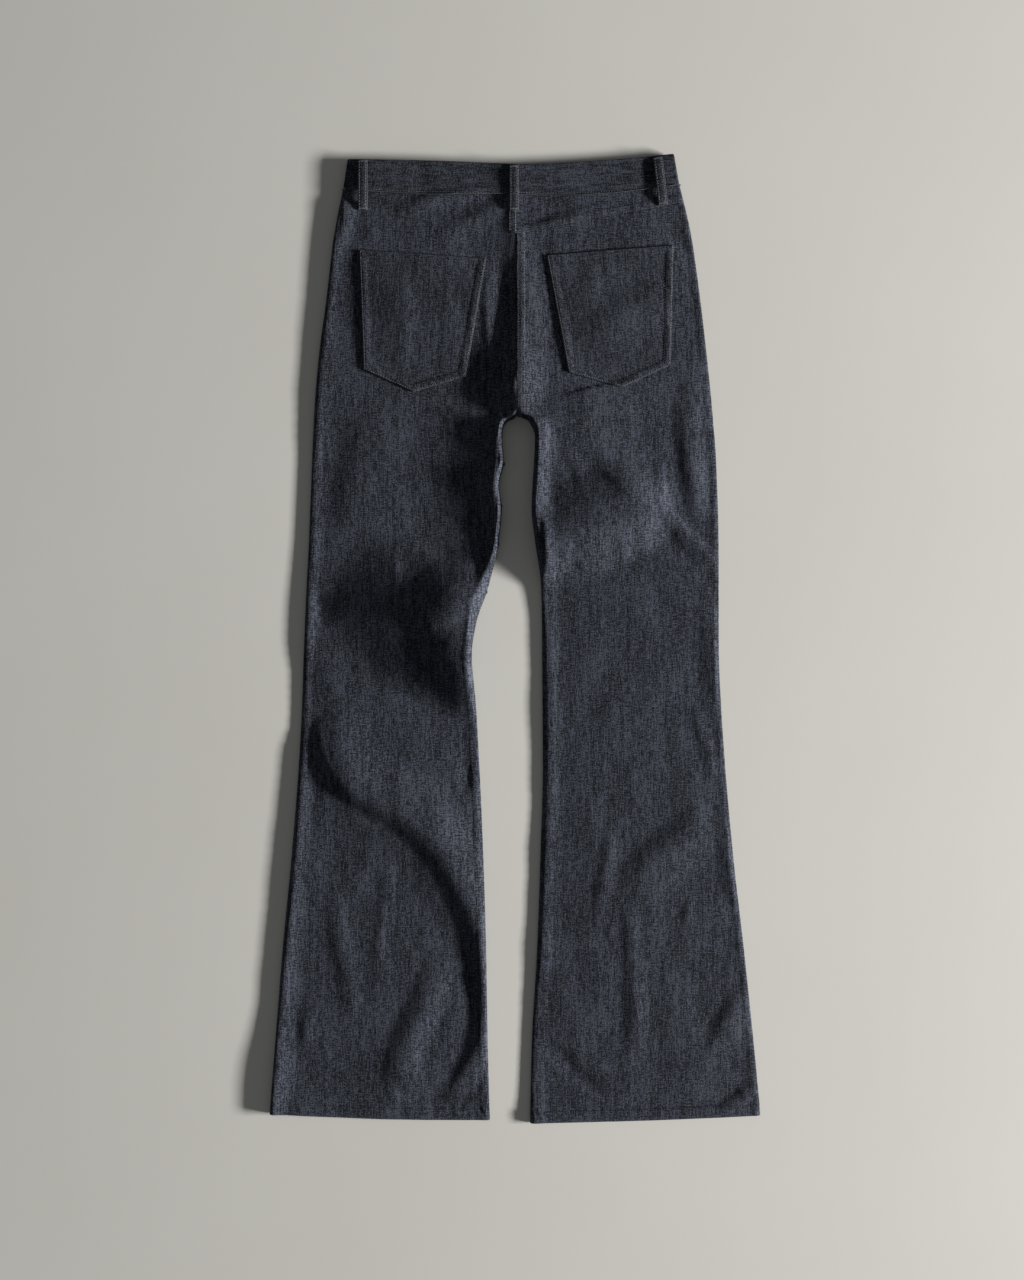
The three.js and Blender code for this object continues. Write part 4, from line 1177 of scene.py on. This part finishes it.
def add_strap(name, start, end, ground, arch, is_under=False):
    """A strap from start to end, over a grid of ground heights and up to arch between its feet."""
    start, end = np.array(start, float), np.array(end, float)
    length = float(np.hypot(*(end - start)))
    run = (end - start) / length
    over = np.array([-run[1], run[0]])
    down = spread(length, LOOP_EDGE, LOOP_PITCH["along"])
    across = spread(LOOP_WIDTH, LOOP_EDGE, LOOP_PITCH["across"]) - LOOP_WIDTH / 2
    down, across = np.meshgrid(down, across, indexing="ij")
    x = start[0] + run[0] * down + over[0] * across
    y = start[1] + run[1] * down + over[1] * across
    from_end = np.minimum(down, length - down)
    base = mix(ground(down, length), arch, soft(from_end / LOOP_FOOT))
    face = strap_profile(across) - edge_roll(from_end, 0.9)
    lower, upper = np.dstack([x, y, base]), np.dstack([x, y, base + LOOP_CLOTH + face])
    if is_under:
        lower = np.dstack([x, y, base + LOOP_RIDGE - face])
        upper = np.dstack([x, y, base + LOOP_CLOTH])
    cloth_xy = np.dstack([across, down])
    worn = 0.25 * dent(LOOP_WIDTH / 2 - np.abs(across) - 0.7, 1.2)
    piece = add_cloth(name + "_cloth", upper, lower, LOOP_DENIM, worn=worn, cloth_xy=cloth_xy)
    declare(piece, name)


def add_back_loop(name, start, end):
    seat = Ground(["waistband_cloth", "yoke_left_cloth", "yoke_right_cloth",
                   "back_leg_left_cloth", "back_leg_right_cloth"])
    box_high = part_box(name)[1]
    crest = box_high.z / MM - LOOP_CLOTH - LOOP_SLACK
    samples = np.linspace(0, 1, 25)
    run = np.subtract(end, start)
    heights = [max(seat.hit(start[0] + run[0] * t + shift, start[1] + run[1] * t)[0] for shift in (-5, 0, 5))
               for t in samples]
    ground = lambda down, length: np.interp(down / length, samples, heights) + 0.2
    add_strap(name, start, end, ground, crest)


for name, (start, end) in BACK_LOOPS.items():
    add_back_loop(name, start, end)


def add_front_loop(side):
    low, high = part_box("belt_loop_front_" + side["name"])
    middle = (low.x + high.x) / 2 / MM
    add_strap("belt_loop_front_" + side["name"], (middle, high.y / MM), (middle, low.y / MM),
              lambda down, length: 0 * down, 0.0, is_under=True)


for side in SIDES.values():
    add_front_loop(side)


# Fly placket, inside the front panels
PLACKET_ROWS = 56
PLACKET_COLUMNS = 18


def add_placket():
    low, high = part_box("fly_placket")
    top, length = high.y / MM, (high.y - low.y) / MM
    rows, columns = np.linspace(0, 1, PLACKET_ROWS), np.linspace(0, 1, PLACKET_COLUMNS)
    down, over = np.meshgrid(rows, columns, indexing="ij")
    curve = quarter((1 - down) / (1 - PLACKET["straight"]))
    reach = mix(PLACKET["tip"], PLACKET["reach"], curve)
    x = mix(CENTRE_X - reach, CENTRE_X + PLACKET["seam_side"], over)
    y = top - down * length
    fronts = Ground(["front_leg_left_cloth", "front_leg_right_cloth"])
    ground = settle(fronts.heights(x, y), 6).max(axis=1, keepdims=True) + SEAM_GAP + 0 * x
    ground = np.minimum(ground, low.z / MM + 4)
    upper, lower = np.dstack([x, y, ground + CLOTH]), np.dstack([x, y, ground])
    piece = add_cloth("fly_placket_cloth", upper, lower, PANEL_DENIM)
    declare(piece, "fly_placket")


add_placket()


# Waist button, under the waistband's buttoned end
def add_button():
    radius = BUTTON_DIAMETER / 2
    low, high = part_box("waist_button")
    profile = [
        (0, 0.25), (2.2, 0.2), (2.6, 0.02), (3.2, 0), (5.6, 0.1), (6.1, 0.3), (6.6, 0.1), (7.4, 0),
        (radius - 0.5, 0.12), (radius - 0.15, 0.4), (radius, 0.75), (radius - 0.1, 1.2),
        (radius - 0.6, 1.5), (radius - 1.6, 1.6), (0, 1.65),
    ]
    shape = bmesh.new()
    points = [shape.verts.new((r * MM, 0, z * MM)) for r, z in profile]
    edges = [shape.edges.new(pair) for pair in zip(points, points[1:])]
    bmesh.ops.spin(shape, geom=points + edges, cent=(0, 0, 0), axis=(0, 0, 1), angle=2 * math.pi,
                   steps=72, use_merge=True)
    bmesh.ops.remove_doubles(shape, verts=shape.verts, dist=0.02 * MM)
    bmesh.ops.recalc_face_normals(shape, faces=shape.faces)
    bmesh.ops.translate(shape, verts=shape.verts, vec=((low.x + high.x) / 2, (low.y + high.y) / 2, 0))
    mesh = bpy.data.meshes.new("waist_button_head")
    shape.to_mesh(mesh)
    shape.free()
    mesh.polygons.foreach_set("use_smooth", np.ones(len(mesh.polygons), bool))
    mesh.materials.append(aged_metal())
    head = bpy.data.objects.new("waist_button_head", mesh)
    bpy.context.scene.collection.objects.link(head)
    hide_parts("waist_button")
    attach(head, BODY)


add_button()


# Sewing: each stitch is a short bent tube, and the stitches of a seam are one joined mesh
STITCH = {"pitch": 3.1, "long": 2.5, "thick": 0.62}
STITCH_TURN = 0.04
FLY_ROW_GAP = 6.3
PRESSED = 0.42
TUBE_SIDES = 5
TUBE_RINGS = [(-0.5, 0.4, -0.22), (-0.24, 1.0, 0.12), (0.24, 1.0, 0.12), (0.5, 0.4, -0.22)]


def stitch_template(thick, long):
    """Points and triangles of one stitch along +X, with the cloth's surface at z = 0."""
    angle = np.arange(TUBE_SIDES) * 2 * np.pi / TUBE_SIDES
    rings = [np.column_stack([
        np.full(TUBE_SIDES, share * long),
        np.cos(angle) * thick / 2 * size,
        np.sin(angle) * thick / 2 * size + lift,
    ]) for share, size, lift in TUBE_RINGS]
    step = np.arange(TUBE_SIDES)
    after = (step + 1) % TUBE_SIDES
    faces = []
    for i in range(len(rings) - 1):
        near, far = i * TUBE_SIDES, (i + 1) * TUBE_SIDES
        faces.append(np.column_stack([near + step, near + after, far + after]))
        faces.append(np.column_stack([near + step, far + after, far + step]))
    last = (len(rings) - 1) * TUBE_SIDES
    fan = np.array([(0, k + 1, k) for k in range(1, TUBE_SIDES - 1)])
    faces += [fan, fan[:, ::-1] + last]
    return np.vstack(rings), np.vstack(faces)


def resample(path, pitch):
    """Even places along a path of (x, y) points, at the middle of each stitch, with directions."""
    path = np.asarray(path, float)
    length = np.concatenate([[0], np.cumsum(np.hypot(*np.diff(path, axis=0).T))])
    count = max(1, int(length[-1] / pitch))
    at = (np.arange(count) + 0.5) * length[-1] / count
    ends = [np.column_stack([np.interp(at + shift, length, path[:, k]) for k in (0, 1)])
            for shift in (-pitch / 3, pitch / 3)]
    return ends


def sew(name, paths, ground, material, seed, pitch=STITCH["pitch"], thick=STITCH["thick"], sink=0.0):
    """A row of stitches along each path, lying on the ground or sunk into it."""
    chance = np.random.default_rng(seed)
    long = pitch * STITCH["long"] / STITCH["pitch"]
    template, triangles = stitch_template(thick, long)
    template[:, 2] -= sink
    points, faces, places, shades = [], [], [], []
    for path in paths:
        before, after = resample(path, pitch)
        for (ax, ay), (bx, by) in zip(before, after):
            (az, normal), (bz, _) = ground.hit(ax, ay), ground.hit(bx, by)
            a, b = np.array([ax, ay, az]), np.array([bx, by, bz])
            forward = unit(b - a)
            aside = unit(np.cross(np.array(normal), forward))
            up = np.cross(forward, aside)
            turn = chance.normal(0, STITCH_TURN)
            forward, aside = forward + aside * turn, aside - forward * turn
            frame_axes = np.vstack([forward, aside, up])
            faces.append(triangles + len(points) * len(template))
            points.append((a + b) / 2 + template @ frame_axes)
            places.append(template[:, [1, 0, 2]] + [0, 7.0 * len(points), 0])
            shades.append(np.full(len(template), chance.uniform(0, 1)))
    piece = add_mesh(name, np.vstack(points), np.vstack(faces), material, 80)
    set_attribute(piece, "cloth", "FLOAT_VECTOR", np.vstack(places) * MM)
    set_attribute(piece, "shade", "FLOAT", np.concatenate(shades))
    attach(piece, BODY)


def across_line(side, line, away, ends=(0.012, 1.0)):
    """A path beside an outline line, away from it up the jeans."""
    share = np.linspace(*ends, 60)
    row = {name: value[:, None] for name, value in row_ends(side, np.array([float(line)])).items()}
    x, y = place_on(row, share[None, :])
    return np.column_stack([x[0], y[0] + away])


def beside_centre(side, away, start, end):
    """A path beside the centre seam, on one side of it."""
    ends = row_ends(side, np.linspace(start, end, 80))
    return np.column_stack([ends["inner_x"] + side["towards"] * away, ends["inner_y"] - 0.3 * away])


def bar_tack(centre, angle, width):
    """A short path gone over several times, as a bar tack is."""
    turn = math.radians(angle)
    half = np.array([math.cos(turn), math.sin(turn)]) * width / 2
    return [np.array([centre - half + [0, shift], centre + half + [0, shift]]) for shift in (-0.35, 0.35)]


def pocket_paths(side_name):
    place = POCKET_PLACES[side_name]
    slant = math.atan2(POCKET["point"] - POCKET["side"], POCKET["low_half"])
    rows = []
    for inset in POCKET_STITCHES:
        corner = inset * (1 / math.cos(slant) - math.tan(slant))
        half_low = POCKET["low_half"] - inset
        points = [
            (-POCKET["top_half"] + inset, -1.2), (-half_low, -POCKET["side"] + corner),
            (0, -POCKET["point"] + inset / math.cos(slant)),
            (half_low, -POCKET["side"] + corner), (POCKET["top_half"] - inset, -1.2),
        ]
        placed = [on_pocket(place, x, y) for x, y in points]
        rows.append([np.array(pair) for pair in zip(placed, placed[1:])])
    top_half = POCKET["top_half"] - 2
    hem = [on_pocket(place, x, -POCKET_HEM) for x in (-top_half, top_half)]
    return rows, [np.array(hem)]


def sew_seat():
    left, right = SIDES["left"], SIDES["right"]
    band = Ground(["waistband_cloth"])
    waist = [across_line(side, WAIST_SEAM, BAND_STITCH, (0.004, 1.0)) for side in (left, right)]
    sew("stitches_waist", waist, band, GREY_THREAD, seed=11)
    yokes = Ground(["yoke_left_cloth", "yoke_right_cloth"])
    lines = [across_line(side, YOKE_SEAM, away, (0.01, 0.985))
             for side in (left, right) for away in YOKE_STITCHES]
    sew("stitches_yoke", lines, yokes, DARK_THREAD, seed=12)
    centre = [beside_centre(left, away, WAIST_SEAM + 0.03, YOKE_SEAM - 0.07) for away in SEAT_STITCHES]
    sew("stitches_yoke_centre", centre, yokes, GREY_THREAD, seed=13)
    legs = Ground(["back_leg_left_cloth", "back_leg_right_cloth"])
    seat = [beside_centre(right, away, YOKE_SEAM + 0.02, CROTCH - 0.2) for away in SEAT_STITCHES]
    sew("stitches_seat", seat, legs, TONAL_THREAD, seed=14)
    hems = [across_line(side, side["last"], HEM_DEEP - 1.6, (0.012, 0.988)) for side in (left, right)]
    sew("stitches_hem_back", hems, legs, DARK_THREAD, seed=15)


def sew_pockets():
    for number, side_name in enumerate(SIDES):
        ground = Ground([f"back_pocket_{side_name}_cloth"])
        (outer_row, inner_row), hem = pocket_paths(side_name)
        # The outer row is one thread sewn in two colours. Its last stretch, up the pocket's right side that
        # faces the light, is in the lighter grey thread as a painted highlight. Its other stretches are in
        # the darker tonal thread.
        for kind, paths, material, seed in (
            ("", outer_row[:-1], TONAL_THREAD, 21),
            ("painted_highlight_", outer_row[-1:], GREY_THREAD, 23),
            ("inner_", inner_row, DARK_THREAD, 27),
            ("hem_", hem, DARK_THREAD, 25),
        ):
            sew(f"stitches_pocket_{kind}{side_name}", paths, ground, material, seed + number)


def sew_loops():
    for number, (name, (start, end)) in enumerate(BACK_LOOPS.items()):
        ground = Ground([name + "_cloth"])
        start, end = np.array(start), np.array(end)
        run = (end - start) / np.hypot(*(end - start))
        over = np.array([-run[1], run[0]])
        rows = [np.array([start + run * 2 + over * away, end - run * 1.5 + over * away])
                for away in (-LOOP_STITCH, LOOP_STITCH)]
        angle = math.degrees(math.atan2(over[1], over[0]))
        width = LOOP_WIDTH - 1.6
        tacks = bar_tack(end - run * 1.8, angle, width) + bar_tack(start + run * 2.2, angle, width)
        sew("stitches_" + name, rows, ground, GREY_THREAD, seed=31 + number)
        sew("tacks_" + name, tacks, ground, GREY_THREAD, pitch=1.3, thick=0.7, seed=35 + number)


def front_waist_path(side, away):
    """A path beside the front's waist seam, on the floor side."""
    row = front_points(side, np.array([float(WAIST_SEAM)]), np.linspace(0.015, 0.985, 60)[None, :], 0.0)[0]
    return np.column_stack([row[:, 0], row[:, 1] + away])


def sew_front():
    """Rows on the hidden front: waist seam, fly, front seam and hems."""
    left, right = SIDES["left"], SIDES["right"]
    band = Ground(["waistband_cloth"], below=True)
    waist = [front_waist_path(side, BAND_STITCH) for side in (left, right)]
    sew("stitches_waist_front", waist, band, GREY_THREAD, seed=41, sink=PRESSED)
    fronts = Ground(["front_leg_left_cloth", "front_leg_right_cloth"], below=True)
    top = front_waist_path(left, 0)[-1][1] - 2
    down = np.linspace(0, 1, 40)
    curve = quarter((1 - down) / (1 - PLACKET["straight"]))
    reach = mix(PLACKET["tip"], PLACKET["reach"] - 2, curve)
    fly = np.column_stack([CENTRE_X - reach, top - down * (PLACKET["length"] - 4)])
    flies = [fly, fly + [FLY_ROW_GAP, 0]]
    sew("stitches_fly", flies, fronts, GREY_THREAD, seed=42, sink=PRESSED)
    end = row_ends(left, np.array([float(CROTCH)]))["inner_y"][0] + 8
    ends = top - PLACKET["length"], end
    centre = [np.array([(CENTRE_X - away, y) for y in ends]) for away in SEAT_STITCHES]
    sew("stitches_front_centre", centre, fronts, GREY_THREAD, seed=43, sink=PRESSED)
    hems = [across_line(side, side["last"], HEM_DEEP - 1.6, (0.012, 0.988)) for side in (left, right)]
    sew("stitches_hem_front", hems, fronts, DARK_THREAD, seed=44, sink=PRESSED)


sew_seat()
sew_front()
sew_pockets()
sew_loops()


# Floor, light and camera, in metres and degrees
FLOOR_HALF = 6.0
FLOOR_DROP = 0.0002
WINDOW = {
    "azimuth": -8, "elevation": 14, "distance": 7.0, "wide": 2.2, "high": 0.7, "power": 1400,
    "colour": (1.0, 0.985, 0.96),
}
FILL = {"strength": 0.13, "colour": (0.96, 0.98, 1.0)}


def add_floor():
    half = FLOOR_HALF
    mesh = bpy.data.meshes.new("floor")
    corners = [(-half, -half, 0), (half, -half, 0), (half, half, 0), (-half, half, 0)]
    mesh.from_pydata(corners, [], [(0, 1, 2, 3)])
    mesh.materials.append(pale_floor())
    floor = bpy.data.objects.new("floor", mesh)
    floor.location.z = -FLOOR_DROP
    bpy.context.scene.collection.objects.link(floor)
    floor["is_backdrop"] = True


def add_window(azimuth, elevation, distance, wide, high, power, colour):
    """A tall bright window beside the floor, as a soft area light that faces the middle."""
    lamp = bpy.data.lights.new("window", "AREA")
    lamp.shape = "RECTANGLE"
    lamp.size, lamp.size_y = wide, high
    lamp.energy = power
    lamp.color = colour
    light = bpy.data.objects.new("window", lamp)
    around, up = math.radians(azimuth), math.radians(elevation)
    direction = Vector((math.cos(around) * math.cos(up), math.sin(around) * math.cos(up), math.sin(up)))
    light.location = direction * distance
    light.rotation_euler = direction.to_track_quat("Z", "Y").to_euler()
    bpy.context.scene.collection.objects.link(light)


def add_world(strength, colour):
    world = bpy.data.worlds.new("fill")
    world.use_nodes = True
    background = world.node_tree.nodes["Background"]
    background.inputs["Color"].default_value = rgb(*colour)
    background.inputs["Strength"].default_value = strength
    bpy.context.scene.world = world


def add_camera():
    lens = bpy.data.cameras.new("camera")
    lens.sensor_fit = "HORIZONTAL"
    lens.sensor_width = 36
    lens.lens = lens.sensor_width * CAMERA_HEIGHT / PICTURE_WIDTH
    lens.clip_end = 100
    camera = bpy.data.objects.new("camera", lens)
    camera.location = (PICTURE_CENTRE[0] * MM, PICTURE_CENTRE[1] * MM, CAMERA_HEIGHT * MM)
    bpy.context.scene.collection.objects.link(camera)
    bpy.context.scene.camera = camera


add_floor()
add_camera()
add_window(**WINDOW)
add_world(**FILL)
bpy.context.scene.view_settings.view_transform = "Standard"

{"cad": [list(corner) for corner in CAD_BOX], "visual": [list(corner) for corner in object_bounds()]}
